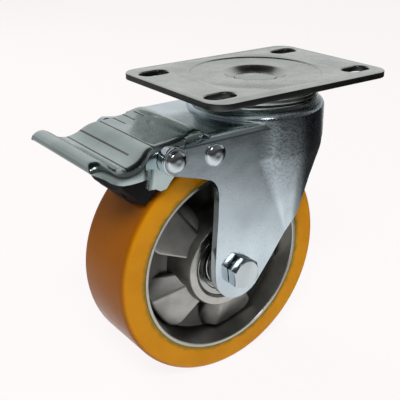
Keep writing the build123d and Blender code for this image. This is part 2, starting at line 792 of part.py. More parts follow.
def pedal_envelope(inset):
    """The solid inside the pedal's outer skin, or its inner skin when inset."""
    start = PEDAL_STATIONS[0][0] + inset
    last = len(PEDAL_STATIONS) - 1
    bend = PEDAL_BEND_R - inset
    sections = []
    for index, (x, top, share) in enumerate(PEDAL_STATIONS):
        before = PEDAL_STATIONS[max(index - 1, 0)]
        after = PEDAL_STATIONS[min(index + 1, last)]
        if after[0] <= start and inset:
            continue
        half = pedal_half + share * (PEDAL_TREAD_WIDTH / 2 - pedal_half)
        slope = (after[1] - before[1]) / (after[0] - before[0])
        drop = inset * math.sqrt(1 + min(abs(slope), 1) ** 2)
        place = x
        if inset and x < start:
            place = start
        if inset and index == last:
            place = x + 1
        height = pedal_z + top - drop
        sections.append(pedal_section(pedal_x + place, height, half - inset, bend))
    return loft(sections)


def make_pedal():
    first, last = PEDAL_LOWER_EDGE[0], PEDAL_LOWER_EDGE[-1]
    outline = [(-across, across), (-across, first[1])]
    outline += PEDAL_LOWER_EDGE
    outline += [(across, last[1]), (across, across)]
    pedal = pedal_envelope(0) - pedal_envelope(PEDAL_SHEET)
    pedal &= pedal_axis * slab(outline, -across, across)
    return pedal - pedal_axis * ring_y(PEDAL_PIN_R + RUNNING_FIT, 0, -across, across)


def cam_lobe_middle():
    """The middle of the cam's lobe, from the pedal's pin: clear of the lever at rest."""
    root, knee = lever_tail[:2]
    slope = math.atan2(knee[1] - root[1], knee[0] - root[0])
    up = (math.sin(slope), -math.cos(slope))
    height = (pedal_x - root[0]) * up[0] + (pedal_z - root[1]) * up[1]
    angle = math.radians(CAM_LOBE_ANGLE)
    out = (math.cos(angle), math.sin(angle))
    fall = -(out[0] * up[0] + out[1] * up[1])
    offset = (height - LEVER_THICK / 2 - CAM_LOBE_R - CAM_LEVER_GAP) / fall
    return offset * out[0], offset * out[1]


def make_pedal_cam():
    hub = Circle(CAM_HUB_R)
    lobe = Pos(*cam_lobe_middle()) * Circle(CAM_LOBE_R)
    profile = make_hull(hub.edges() + lobe.edges())
    top = CAM_SEAT_RISE - PEDAL_SHEET - CAM_TOP_GAP
    profile += Pos(0, top / 2) * Rectangle(1.6 * CAM_HUB_R, top)
    profile &= Pos(0, top - across / 2) * Rectangle(across, across)
    cam = extrude(Plane.XZ * profile, CAM_HALF_WIDTH, both=True)
    return pedal_axis * (cam - ring_y(PEDAL_PIN_R + RUNNING_FIT, 0, -across, across))


def make_pedal_pin():
    seat = half_fork + PEDAL_WASHER_THICK
    return pedal_axis * domed_pin_y(PEDAL_PIN_R, PEDAL_PIN_HEAD_R, PEDAL_PIN_HEAD_THICK, seat)


def make_pedal_washers():
    washers = []
    high = half_fork + PEDAL_WASHER_THICK
    for low, high in ((-high, -half_fork), (half_fork, high)):
        washers.append(pedal_axis * ring_y(PEDAL_WASHER_R, PEDAL_PIN_R, low, high))
    return Compound(children=washers)


# ---- brake lever -----------------------------------------------------------
def make_brake_lever():
    half = LEVER_WIDTH / 2
    lever = slab(strip_outline(lever_tail, LEVER_THICK), -half, half)
    front_z = lever_z - LEVER_FRONT_DROP
    front = [(lever_x, front_z), (lever_x + LEVER_FRONT_REACH, front_z)]
    front_half = LEVER_FRONT_WIDTH / 2
    lever += slab(strip_outline(front, LEVER_THICK), -front_half, front_half)
    lever += lever_axis * ring_y(LEVER_EYE_R, 0, -half, half)
    high = disc_bottom - TOOTH_GAP
    tooth = Box(TOOTH_LENGTH, TOOTH_WIDTH, high - front_z)
    lever += Pos(lever_x + TOOTH_REACH, 0, (front_z + high) / 2) * tooth
    return lever - lever_axis * ring_y(LEVER_PIN_R + RUNNING_FIT, 0, -across, across)


def swung(point, degrees):
    """A point of the lever, as (x, z), after the lever has swung about its pin."""
    turn = math.radians(degrees)
    x, z = point[0] - lever_x, point[1] - lever_z
    return (
        lever_x + x * math.cos(turn) - z * math.sin(turn),
        lever_z + x * math.sin(turn) + z * math.cos(turn),
    )


def make_brake_block(lever, rivets):
    """The block, shaped against the tread with the brake on, then swung back."""
    inner_r = WHEEL_R + BLOCK_APPLIED_GAP
    outer_r = inner_r + BLOCK_DEPTH
    half = BLOCK_WIDTH / 2
    root, knee = lever_tail[:2]
    cover = LEVER_THICK / 2 + BLOCK_COVER
    shoulder = (knee[0] - BLOCK_SHOULDER_BACK, knee[1] + cover - BLOCK_SHOULDER_DROP)
    run = BLOCK_ROOT_SHARE
    along = (knee[0] + (root[0] - knee[0]) * run, knee[1] + (root[1] - knee[1]) * run)
    outline = [
        wheel_point(inner_r, BLOCK_END),
        wheel_point(outer_r - BLOCK_NOSE_CUT, BLOCK_END),
        wheel_point(outer_r, BLOCK_END - BLOCK_NOSE_TURN),
        swung(shoulder, lever_travel),
        swung((knee[0] - BLOCK_SHOULDER_BACK / 2, knee[1]), lever_travel),
        swung(knee, lever_travel),
        swung(along, lever_travel),
        wheel_point(inner_r, BLOCK_START),
    ]
    block = slab(outline, -half, half)
    block -= axle * ring_y(inner_r, 0, -half - 1, half + 1)
    corner = wheel_point(inner_r, BLOCK_END)
    wedge = make_face(
        Polyline(
            (0.5, half + 1, 0),
            (0.5, half - BLOCK_CORNER_RUN, 0),
            (0, half - BLOCK_CORNER_RUN, 0),
            (-BLOCK_CORNER_CUT, half + 1, 0),
            close=True,
        )
    )
    cut = extrude(wedge, across, both=True)
    for side_cut in (cut, mirror(cut, Plane.XZ)):
        turned_cut = Rot(0, 90 - BLOCK_END, 0) * Rot(0, 0, 180) * side_cut
        block -= Pos(corner[0], 0, corner[1]) * turned_cut
    pivot = Axis((lever_x, 0, lever_z), (0, 1, 0))
    return block.rotate(pivot, lever_travel) - lever - rivets


def make_block_rivets():
    """Two rivets through the lever's tail into the block."""
    knee, end = lever_tail[1:]
    slope = math.degrees(math.atan2(end[1] - knee[1], end[0] - knee[0]))
    rivets = []
    middle = ((knee[0] + end[0]) / 2, (knee[1] + end[1]) / 2)
    for y in (-RIVET_SPACING / 2, RIVET_SPACING / 2):
        place = Pos(middle[0], y, middle[1]) * Rot(0, -slope, 0)
        shank = Cylinder(RIVET_R, LEVER_THICK + 5)
        head = Pos(0, 0, -(LEVER_THICK + RIVET_HEAD_THICK) / 2)
        rivets.append(place * (shank + head * Cylinder(RIVET_HEAD_R, RIVET_HEAD_THICK)))
    return Compound(children=rivets)


def make_lever_pin():
    return lever_axis * domed_pin_y(
        LEVER_PIN_R, LEVER_PIN_HEAD_R, LEVER_PIN_HEAD_THICK, half_fork
    )


# ---- return spring ---------------------------------------------------------
def make_return_spring():
    """A coil round the lever's pin, with one leg on the arm and one below the lever."""
    near_y = -LEVER_WIDTH / 2 - COIL_SIDE_GAP - WIRE_R
    root, knee = lever_tail[0], lever_tail[1]
    slope = (knee[1] - root[1]) / (knee[0] - root[0])
    leg_x = lever_x - LEG_REACH
    below = root[1] + slope * (leg_x - root[0])
    below -= LEVER_THICK / 2 * math.sqrt(1 + slope**2) + LEG_GAP + WIRE_R
    bottom = lever_z - COIL_R
    path = [
        (leg_x, near_y + HOOK_REACH, below),
        (leg_x, near_y + HOOK_REACH / 2, below),
        (leg_x, near_y + 2, below),
        (leg_x + 2, near_y, below + 0.2),
        ((leg_x + lever_x) / 2, near_y, (below + bottom) / 2),
    ]
    steps = int(COIL_TURNS * 12)
    for step in range(steps + 1):
        turn = math.radians(-90 + 360 * COIL_TURNS * step / steps)
        x = lever_x + COIL_R * math.cos(turn)
        y = near_y - COIL_PITCH * COIL_TURNS * step / steps
        path.append((x, y, lever_z + COIL_R * math.sin(turn)))
    finish_y = path[-1][1]
    hook_x = WEB_REAR_X - WIRE_R - HOOK_GAP
    hook_z = web_top - ARM_DROP + WIRE_R + 0.1
    path += [
        (hook_x - 0.1, finish_y - 1.2, web_under - 1.2),
        (hook_x, finish_y - 2.2, (web_under - 1.2 + hook_z) / 2),
        (hook_x, finish_y - 3.6, hook_z),
        (hook_x, finish_y - 6.0, hook_z + 0.1),
        (hook_x, -half_fork + WIRE_R + 2, hook_z),
        (hook_x, -half_fork + WIRE_R, hook_z),
    ]
    line = Spline(*path)
    spans = []
    for span in range(SPRING_SPANS):
        spans.append(line.trim(span / SPRING_SPANS, (span + 1) / SPRING_SPANS))
    wire = Wire(spans)
    return sweep(Plane(wire @ 0, z_dir=wire % 0) * Circle(WIRE_R), wire)


parts = {
    "top_plate": make_top_plate(),
    "upper_race": make_upper_race(),
    "king_pin": make_king_pin(),
    "bottom_cup": make_bottom_cup(),
    "lock_disc": make_lock_disc(),
    "king_pin_nut": make_king_nut(),
    "lower_race": make_lower_race(),
    "upper_balls": ball_circle(BALL_LEAST_GAP, BALL_PITCH_R, BALL_R, ball_level),
    "lower_balls": ball_circle(
        SMALL_BALL_LEAST_GAP, SMALL_BALL_PITCH_R, SMALL_BALL_R, small_ball_level
    ),
    "fork": make_fork(),
    "tread": make_tread(),
    "wheel_centre": make_wheel_centre(),
    "bearing_outer_near": make_bearing_outer(-1),
    "bearing_outer_far": make_bearing_outer(1),
    "bearing_inner_near": make_bearing_inner(-1),
    "bearing_inner_far": make_bearing_inner(1),
    "bearing_balls": make_bearing_balls(),
    "bearing_shields": make_bearing_shields(),
    "axle_bolt": make_axle_bolt(),
    "axle_washer": make_axle_washer(),
    "axle_nut": make_axle_nut(),
    "axle_tube": make_axle_tube(),
    "bearing_spacer": make_bearing_spacer(),
    "side_bush_near": make_side_bush(-1),
    "side_bush_far": make_side_bush(1),
    "pedal": make_pedal(),
    "pedal_cam": make_pedal_cam(),
    "pedal_pin": make_pedal_pin(),
    "pedal_pin_washers": make_pedal_washers(),
    "lever_pin": make_lever_pin(),
    "brake_lever": make_brake_lever(),
    "block_rivets": make_block_rivets(),
    "return_spring": make_return_spring(),
}
parts["brake_lever"] = parts["brake_lever"] - parts["block_rivets"]
parts["brake_block"] = make_brake_block(make_brake_lever(), parts["block_rivets"])

for name, shape in parts.items():
    export_step(shape, f"parts/{name}.step")
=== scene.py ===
"""A plate-mounted swivel castor with a foot pedal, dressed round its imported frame.

The frame's axes are kept: +Z up out of the top plate, +X the way the castor leads, and
the origin at the centre of the plate's upper face. Blender works in metres. Sizes in the
classes below are in millimetres, as on a maker's drawing, and MM turns them into metres.
"""

import json
import logging
import math
from collections.abc import Sequence
from dataclasses import dataclass
from enum import Enum
from typing import Optional, Union

import bmesh
import bpy
from mathutils import Matrix, Vector


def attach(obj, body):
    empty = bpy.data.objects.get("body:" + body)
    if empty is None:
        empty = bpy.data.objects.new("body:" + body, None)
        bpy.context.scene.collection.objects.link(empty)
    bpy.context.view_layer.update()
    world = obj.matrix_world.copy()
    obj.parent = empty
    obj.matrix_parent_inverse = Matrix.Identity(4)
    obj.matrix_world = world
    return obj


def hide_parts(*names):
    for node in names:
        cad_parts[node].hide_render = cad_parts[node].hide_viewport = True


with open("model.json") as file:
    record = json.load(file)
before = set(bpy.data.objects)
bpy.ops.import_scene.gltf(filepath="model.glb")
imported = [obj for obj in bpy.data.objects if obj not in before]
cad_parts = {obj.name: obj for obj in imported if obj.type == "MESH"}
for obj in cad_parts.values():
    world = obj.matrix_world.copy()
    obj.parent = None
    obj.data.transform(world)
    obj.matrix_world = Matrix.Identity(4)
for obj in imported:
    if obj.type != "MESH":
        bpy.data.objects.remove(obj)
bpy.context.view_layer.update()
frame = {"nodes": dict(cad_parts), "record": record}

MM = 0.001
LOG = logging.getLogger("castor")
BODY_OF = {
    node: body for body, nodes in frame["record"]["behaviour"]["bodies"].items() for node in nodes
}

Point = tuple[float, float, float]
Flat = tuple[float, float]
Colour = tuple[float, float, float, float]
Key = Union[int, str]
Socket = bpy.types.NodeSocket


class Turning(Enum):
    """The axis that a turned piece is spun about."""

    Y = (0.0, 1.0, 0.0)
    Z = (0.0, 0.0, 1.0)


class Join(Enum):
    """How one solid is put to another."""

    CUT = "DIFFERENCE"
    ADD = "UNION"
    TRIM = "INTERSECT"


# ---- places that several sub-assemblies share ------------------------------------
KING_PIN: Point = (0.0, 0.0, 0.0)
AXLE: Point = (-43.3, 0.0, -119.0)
PEDAL_PIVOT: Point = (-92.5, 0.0, -32.0)
LEVER_PIVOT: Point = (-63.5, 0.0, -34.0)
FORK_HALF = 40.0
FORK_SHEET = 5.0
RIM_R = 62.9
SEAT_R = 23.5
SEAT_FLOOR = 12.0
SEAT_FACE = 26.0


# ---- node trees ---------------------------------------------------------------
class Paint:
    """The node tree of a material or a world, built step by step on Object coordinates."""

    def __init__(self, owner: bpy.types.ID) -> None:
        """Starts an empty tree.

        Args:
            owner: The material or world that the tree belongs to.
        """
        owner.use_nodes = True
        self.owner = owner
        self.tree = owner.node_tree
        self.tree.nodes.clear()
        self.place = self.step("TexCoord", {}, "Object")

    def step(
        self, kind: str, inputs: dict[Key, object], output: Key = 0, **settings: object
    ) -> Socket:
        """Adds a node and feeds it.

        Args:
            kind: Blender's name for the node's type, after ShaderNode.
            inputs: An output to link, or a plain value to set, for each input.
            output: The output that is wanted.
            **settings: Properties set on the node.

        Returns:
            The socket of the wanted output.
        """
        made = self.tree.nodes.new(f"ShaderNode{kind}")
        for key, value in settings.items():
            setattr(made, key, value)
        for key, value in inputs.items():
            if isinstance(value, Socket):
                self.tree.links.new(value, made.inputs[key])
            else:
                made.inputs[key].default_value = value
        return made.outputs[output]

    def close(self, surface: Socket) -> None:
        """Ends the tree in a shader.

        Args:
            surface: The output of the shader.
        """
        kind = "World" if isinstance(self.owner, bpy.types.World) else "Material"
        out = self.tree.nodes.new(f"ShaderNodeOutput{kind}")
        self.tree.links.new(surface, out.inputs["Surface"])

    def noise(self, size: float, detail: float = 3.0, roughness: float = 0.5) -> Socket:
        """Noise whose features are about one size.

        Args:
            size: Size of the features in millimetres.
            detail: Octaves of finer noise.
            roughness: Share that each finer octave keeps.

        Returns:
            The noise, from 0 to 1.
        """
        scale = 1.0 / (size * MM)
        settings = {"Vector": self.place, "Scale": scale, "Detail": detail, "Roughness": roughness}
        return self.step("TexNoise", settings, "Fac")

    def maths(self, operation: str, first: object, second: object = 0.0) -> Socket:
        """One step of arithmetic, by Blender's name for it."""
        return self.step("Math", {0: first, 1: second}, operation=operation)

    def spread(
        self, value: object, low: float, high: float, to_low: float = 0.0, to_high: float = 1.0
    ) -> Socket:
        """Maps a value smoothly from one range to another, and keeps it in that range.

        Args:
            value: The value to map.
            low: Start of its range.
            high: End of its range.
            to_low: Result at the start.
            to_high: Result at the end.

        Returns:
            The mapped value.
        """
        ends = {"From Min": low, "From Max": high, "To Min": to_low, "To Max": to_high}
        return self.step("MapRange", {"Value": value, **ends}, interpolation_type="SMOOTHSTEP")

    def blend(self, share: object, first: object, second: object) -> Socket:
        """Mixes two colours by the second one's share."""
        return self.step("Mix", {0: share, 6: first, 7: second}, 2, data_type="RGBA")

    def axes(self) -> tuple[Socket, Socket, Socket]:
        """The X, Y and Z of the Object coordinates, in millimetres.

        Returns:
            The three sockets.
        """
        split = self.step("SeparateXYZ", {0: self.place}).node.outputs
        x, y, z = (self.maths("MULTIPLY", split[axis], 1.0 / MM) for axis in range(3))
        return x, y, z

    def depth(self) -> Socket:
        """Distance from the castor's middle plane, in millimetres."""
        _, y, _ = self.axes()
        return self.maths("ABSOLUTE", y)

    def radius_about(self, centre: Point, turning: Turning) -> Socket:
        """Distance from an axis, in millimetres.

        Args:
            centre: A point on the axis, in millimetres.
            turning: The direction of the axis.

        Returns:
            The distance.
        """
        x, y, z = self.axes()
        across, middle = (y, centre[1]) if turning is Turning.Z else (z, centre[2])
        first = self.maths("POWER", self.maths("SUBTRACT", x, centre[0]), 2.0)
        second = self.maths("POWER", self.maths("SUBTRACT", across, middle), 2.0)
        return self.maths("SQRT", self.maths("ADD", first, second))

    def bump(self, height: object, depth: float, under: Optional[Socket] = None) -> Socket:
        """Turns a height into a tilt of the surface.

        Args:
            height: The height, from 0 to 1.
            depth: Height of 1 in millimetres.
            under: A normal that this one is laid over.

        Returns:
            The new normal.
        """
        laid_over = {} if under is None else {"Normal": under}
        return self.step("Bump", {"Height": height, "Distance": depth * MM, **laid_over})

    def dressed(self, **sockets: object) -> bpy.types.Material:
        """Ends the tree in a Principled shader.

        Args:
            **sockets: Values for its inputs, by name with _ for each space.

        Returns:
            The finished material.
        """
        inputs = {key.replace("_", " "): value for key, value in sockets.items()}
        self.close(self.step("BsdfPrincipled", inputs))
        return self.owner


def colour(red: float, green: float, blue: float) -> Colour:
    """A linear colour with full alpha."""
    return (red, green, blue, 1.0)


# ---- finishes -----------------------------------------------------------------
@dataclass(frozen=True)
class ZincPlating:
    """Electroplated zinc on pressed sheet.

    The plating is a satin mirror. Its tint drifts over a few centimetres, it is spotted
    where the brightener ran thin, and the sheet under it is never quite flat.
    """

    name: str
    light: Colour
    shade: Colour
    roughness: float
    spotting: float
    waviness: float
    # Near black painted shade on upright faces, such as the plate's sides and slot walls; none if not
    # given.
    edge: Optional[Colour] = None
    # Painted dark reflection, mottled: the plating is darkened more up Z and along X, where it mirrors
    # the dark room.
    reflection_painted: bool = False
    reflection_x: Flat = (-36.0, -14.0)
    reflection_z: Flat = (-92.0, -42.0)

    def material(self) -> bpy.types.Material:
        """Builds the node tree.

        Returns:
            The finished material.
        """
        paint = Paint(bpy.data.materials.new(self.name))
        drift = paint.noise(38.0, 2.0)
        spots = paint.noise(1.5, 3.0, 0.6)
        patch = paint.noise(9.0, 4.0, 0.62)
        tone = paint.blend(paint.spread(drift, 0.3, 0.7), self.light, self.shade)
        dull = paint.spread(spots, 0.54, 0.74, 0.0, self.spotting)
        tone = paint.blend(dull, tone, self.shade)
        rough = paint.spread(patch, 0.3, 0.75, self.roughness * 0.8, self.roughness * 1.3)
        rough = paint.maths("ADD", rough, paint.maths("MULTIPLY", dull, 0.25))
        # Painted shade: upright faces are darkened to the edge colour, with a noisy border; their
        # roughness rises with it.
        if self.edge is not None:
            facing = paint.step("NewGeometry", {}, "Normal")
            flat = paint.maths("ABSOLUTE", paint.step("SeparateXYZ", {0: facing}, 2))
            upright_jitter = paint.maths("ADD", flat, paint.spread(spots, 0.3, 0.7, -0.12, 0.12))
            side_shade = paint.spread(upright_jitter, 0.30, 0.62, 0.92, 0.0)
            tone = paint.blend(side_shade, tone, self.edge)
            rough = paint.maths("ADD", rough, paint.maths("MULTIPLY", side_shade, 0.22))
        normal = paint.bump(paint.noise(15.0, 1.5), self.waviness)
        # Painted dark reflection on the upper, leading face, broken by a mottle; roughness and bumps
        # follow the same mask.
        if self.reflection_painted:
            x, _, z = paint.axes()
            high = paint.spread(z, *self.reflection_z)
            leading = paint.spread(x, *self.reflection_x, 0.10, 1.0)
            painted_reflection = paint.maths("MULTIPLY", high, leading)
            mottle_noise = paint.noise(2.0, 5.0, 0.62)
            rough = paint.maths("ADD", rough, paint.maths("MULTIPLY", painted_reflection, 0.10))
            painted_reflection_mottle = paint.maths("MULTIPLY", painted_reflection, paint.spread(mottle_noise, 0.30, 0.60, 1.0, 0.62))
            tone = paint.blend(paint.maths("MULTIPLY", painted_reflection_mottle, 0.92), tone, self.reflection_tint())
            normal = paint.bump(painted_reflection_mottle, 0.10, normal)
        normal = paint.bump(spots, 0.015 * self.spotting, normal)
        normal = paint.bump(paint.noise(0.5, 2.0), 0.004, normal)
        return paint.dressed(Base_Color=tone, Metallic=1.0, Roughness=rough, Normal=normal)

    def reflection_tint(self) -> Colour:
        """The painted dark reflection's tint: a third of the shade."""
        red, green, blue, _ = self.shade
        return colour(red / 3, green / 3, blue / 3)


@dataclass(frozen=True)
class CastAluminium:
    """Sand-coloured grey of a gravity casting, with a fine open grain, and painted shade darkening its
    recesses.
    """

    name: str
    light: Colour
    shade: Colour
    roughness: float
    # Painted shade: the recesses are darkened near the middle plane, and the shade fades out by the
    # second depth.
    recess_shade: Colour = colour(0.09, 0.088, 0.08)
    recess_shade_depth: Flat = (8.0, 13.5)

    def material(self) -> bpy.types.Material:
        """Builds the node tree.

        Returns:
            The finished material.
        """
        paint = Paint(bpy.data.materials.new(self.name))
        cloud = paint.noise(16.0, 3.0)
        grain = paint.noise(0.55, 3.0, 0.65)
        pits = paint.noise(1.4, 4.0, 0.7)
        tone = paint.blend(paint.spread(cloud, 0.3, 0.7), self.light, self.shade)
        tone = paint.blend(paint.spread(pits, 0.6, 0.8, 0.0, 0.5), tone, self.shade)
        # Painted shade in the recesses near the wheel's middle plane.
        tone = paint.blend(paint.spread(paint.depth(), *self.recess_shade_depth), self.recess_shade, tone)
        rough = paint.spread(grain, 0.25, 0.75, self.roughness * 0.85, self.roughness * 1.2)
        normal = paint.bump(pits, 0.03)
        normal = paint.bump(grain, 0.02, normal)
        return paint.dressed(Base_Color=tone, Metallic=1.0, Roughness=rough, Normal=normal)


@dataclass(frozen=True)
class TurnedMetal:
    """Metal faced on a lathe, with fine rings about its axis."""

    name: str
    light: Colour
    shade: Colour
    roughness: float
    centre: Point
    turning: Turning

    def material(self) -> bpy.types.Material:
        """Builds the node tree.

        Returns:
            The finished material.
        """
        paint = Paint(bpy.data.materials.new(self.name))
        rings = {"W": paint.radius_about(self.centre, self.turning), "Scale": 3.5, "Detail": 3.0}
        line = paint.step("TexNoise", rings, "Fac", noise_dimensions="1D")
        cloud = paint.noise(6.0, 3.0)
        spots = paint.noise(1.2, 3.0, 0.6)
        tone = paint.blend(paint.spread(line, 0.35, 0.7, 0.0, 0.7), self.light, self.shade)
        tone = paint.blend(paint.spread(spots, 0.56, 0.75, 0.0, 0.6), tone, self.shade)
        rough = paint.spread(cloud, 0.3, 0.7, self.roughness * 0.8, self.roughness * 1.3)
        normal = paint.bump(line, 0.012)
        return paint.dressed(Base_Color=tone, Metallic=1.0, Roughness=rough, Normal=normal)


@dataclass(frozen=True)
class Urethane:
    """Cast amber polyurethane: it glows a little inside, and turns green by the rim."""

    name: str
    body: Colour
    deep: Colour
    rim: Colour
    side_depth: Flat = (22.0, 24.6)
    rim_band: Flat = (RIM_R + 0.3, RIM_R + 4.0)
    # Painted shade: the amber darkens from the first radius out, over the rounded shoulders and the
    # whole running face.
    tread_shade_band: Flat = (77.5, 79.9)

    def material(self) -> bpy.types.Material:
        """Builds the node tree.

        Returns:
            The finished material.
        """
        paint = Paint(bpy.data.materials.new(self.name))
        cloud = paint.noise(24.0, 3.0)
        radius = paint.radius_about(AXLE, Turning.Y)
        wander = paint.spread(paint.noise(5.0, 3.0), 0.3, 0.7, -0.7, 0.7)
        tone = paint.blend(paint.spread(cloud, 0.3, 0.75, 0.0, 0.22), self.body, self.deep)
        outside = paint.spread(paint.depth(), *self.side_depth)
        near = paint.spread(paint.maths("ADD", radius, wander), *self.rim_band, 0.85, 0.0)
        tone = paint.blend(paint.maths("MULTIPLY", near, outside), tone, self.rim)
        # Painted shade on the tread's shoulders and running face, toward the deep tone.
        tread_shade = paint.spread(radius, *self.tread_shade_band, 0.0, 0.85)
        tone = paint.blend(tread_shade, tone, self.deep)
        rough = paint.spread(cloud, 0.3, 0.7, 0.16, 0.26)
        normal = paint.bump(paint.noise(9.0, 2.0), 0.05)
        normal = paint.bump(paint.noise(1.1, 2.0), 0.004, normal)
        return paint.dressed(
            Base_Color=tone,
            Roughness=rough,
            Normal=normal,
            IOR=1.5,
            Specular_IOR_Level=0.12,
            Subsurface_Weight=0.25,
            Subsurface_Radius=(1.0, 0.42, 0.08),
            Subsurface_Scale=0.004,
        )


@dataclass(frozen=True)
class Rubber:
    """Moulded black rubber with a dusty, slightly uneven skin."""

    name: str
    tone: Colour
    dust: Colour

    def material(self) -> bpy.types.Material:
        """Builds the node tree.

        Returns:
            The finished material.
        """
        paint = Paint(bpy.data.materials.new(self.name))
        cloud = paint.noise(5.0, 4.0)
        tone = paint.blend(paint.spread(cloud, 0.45, 0.8, 0.0, 0.5), self.tone, self.dust)
        rough = paint.spread(cloud, 0.3, 0.7, 0.40, 0.60)
        normal = paint.bump(cloud, 0.06)
        normal = paint.bump(paint.noise(0.6, 2.0), 0.015, normal)
        return paint.dressed(Specular_IOR_Level=0.15, Base_Color=tone, Roughness=rough, Normal=normal)


class Finish(Enum):
    """The finishes of the castor."""

    PLATE = ZincPlating(
        "plate_zinc", colour(0.52, 0.55, 0.52), colour(0.40, 0.43, 0.41), 0.22, 0.5, 0.04,
        # near black painted shade for the plate's upright faces
        colour(0.05, 0.05, 0.05),
    )
    PEDAL = ZincPlating(
        "pedal_zinc", colour(0.48, 0.56, 0.55), colour(0.37, 0.44, 0.435), 0.18, 0.4, 0.06
    )
    FORK = ZincPlating(
        "fork_zinc", colour(0.67, 0.765, 0.82), colour(0.53, 0.61, 0.655), 0.13, 0.5, 0.16,
        # The fork gets a painted dark reflection on its upper, leading face.
        reflection_painted=True,
    )
    SMALL = ZincPlating(
        "small_zinc", colour(0.66, 0.71, 0.74), colour(0.52, 0.57, 0.60), 0.14, 0.3, 0.01
    )
    # Dark steel for the bushes; on the pedal, painted shade in the grooves' floors.
    DARK = ZincPlating(
        "dark_steel_and_groove_shade", colour(0.20, 0.19, 0.18), colour(0.12, 0.115, 0.11), 0.30, 0.4, 0.01
    )
    RACE = TurnedMetal(
        "race_steel", colour(0.50, 0.54, 0.52), colour(0.34, 0.38, 0.37), 0.20,
        KING_PIN, Turning.Z,
    )
    BEARING = TurnedMetal(
        "bearing_steel", colour(0.50, 0.50, 0.49), colour(0.30, 0.30, 0.29), 0.18, AXLE, Turning.Y
    )
    CAST = CastAluminium("cast_aluminium", colour(0.44, 0.435, 0.41), colour(0.31, 0.305, 0.285), 0.36)
    RIM = TurnedMetal(
        "turned_rim", colour(0.56, 0.55, 0.51), colour(0.34, 0.33, 0.30), 0.32, AXLE, Turning.Y
    )
    AMBER = Urethane(
        "amber_urethane", colour(0.68, 0.285, 0.004), colour(0.33, 0.085, 0.002),
        colour(0.17, 0.15, 0.02),
    )
    RUBBER = Rubber("black_rubber", colour(0.006, 0.006, 0.007), colour(0.016, 0.015, 0.015))


class Palette:
    """The finished materials, each built once."""

    def __init__(self) -> None:
        """Builds every finish's material."""
        self.made = {finish: finish.value.material() for finish in Finish}

    def put(self, piece: bpy.types.Object, *finishes: Finish) -> None:
        """Gives a piece its material slots.

        Args:
            piece: The piece.
            *finishes: One finish for each slot, in order.
        """
        piece.data.materials.clear()
        for finish in finishes:
            piece.data.materials.append(self.made[finish])


# ---- the bench: how pieces are drawn, turned, cut and finished --------------------
# Places nearer than this are one place, in millimetres.
NEARBY = 0.002
# Faces that meet at less than this are one flat face, in degrees.
FLATNESS = 0.6


def alone(piece: bpy.types.Object) -> None:
    """Leaves only this piece selected, and active.

    Args:
        piece: The piece.
    """
    bpy.ops.object.select_all(action="DESELECT")
    piece.select_set(True)
    bpy.context.view_layer.objects.active = piece


def opened(piece: bpy.types.Object) -> None:
    """Opens a piece in edit mode, with all of it selected.

    Args:
        piece: The piece.
    """
    alone(piece)
    bpy.ops.object.mode_set(mode="EDIT")
    bpy.ops.mesh.select_all(action="SELECT")


def just_added(name: str) -> bpy.types.Object:
    """Names the primitive that was just added.

    Args:
        name: The name of the object and its mesh.

    Returns:
        The primitive.
    """
    piece = bpy.context.object
    piece.name = piece.data.name = name
    return piece


def pick_ends(piece: bpy.types.Object, ends: Sequence[Point]) -> None:
    """Selects only the vertices at some places.

    Args:
        piece: The piece, in edit mode.
        ends: The places in millimetres.
    """
    bpy.ops.mesh.select_all(action="DESELECT")
    mesh = bmesh.from_edit_mesh(piece.data)
    for vertex in mesh.verts:
        if min((vertex.co / MM - Vector(end)).length for end in ends) < NEARBY:
            vertex.select_set(True)
    mesh.select_flush_mode()
    bmesh.update_edit_mesh(piece.data)


def pick_faces(piece: bpy.types.Object, direction: Point, least: float) -> None:
    """Selects only the faces that look one way.

    Args:
        piece: The piece, in edit mode.
        direction: The way that they look.
        least: The least share of their normal along it.
    """
    bpy.ops.mesh.select_all(action="DESELECT")
    mesh = bmesh.from_edit_mesh(piece.data)
    for face in mesh.faces:
        if face.normal.dot(Vector(direction)) > least:
            face.select_set(True)
    mesh.select_flush_mode()
    bmesh.update_edit_mesh(piece.data)


def drawn(name: str, corners: Sequence[Point], closed: bool) -> bpy.types.Object:
    """Draws a line of edges, corner by corner, and leaves it in edit mode.

    Args:
        name: The piece's name.
        corners: The corners in millimetres.
        closed: Whether the last corner is joined to the first.

    Returns:
        The new piece.
    """
    bpy.ops.object.select_all(action="DESELECT")
    bpy.ops.mesh.primitive_plane_add(size=MM)
    piece = just_added(name)
    bpy.ops.object.mode_set(mode="EDIT")
    bpy.ops.mesh.select_mode(type="VERT")
    bpy.ops.mesh.merge(type="CENTER")
    bpy.ops.transform.translate(value=Vector(corners[0]) * MM)
    for here, there in zip(corners, corners[1:]):
        step = (Vector(there) - Vector(here)) * MM
        bpy.ops.mesh.extrude_vertices_move(TRANSFORM_OT_translate={"value": step})
    if closed:
        pick_ends(piece, (corners[0], corners[-1]))
        bpy.ops.mesh.edge_face_add()
    bpy.ops.mesh.select_all(action="SELECT")
    return piece


def closed_up(piece: bpy.types.Object) -> bpy.types.Object:
    """Merges doubles, turns faces outwards and leaves edit mode.

    Args:
        piece: The piece, in edit mode.

    Returns:
        The same piece.
    """
    bpy.ops.mesh.select_all(action="SELECT")
    bpy.ops.mesh.remove_doubles(threshold=NEARBY * MM)
    bpy.ops.mesh.normals_make_consistent(inside=False)
    bpy.ops.object.mode_set(mode="OBJECT")
    return piece


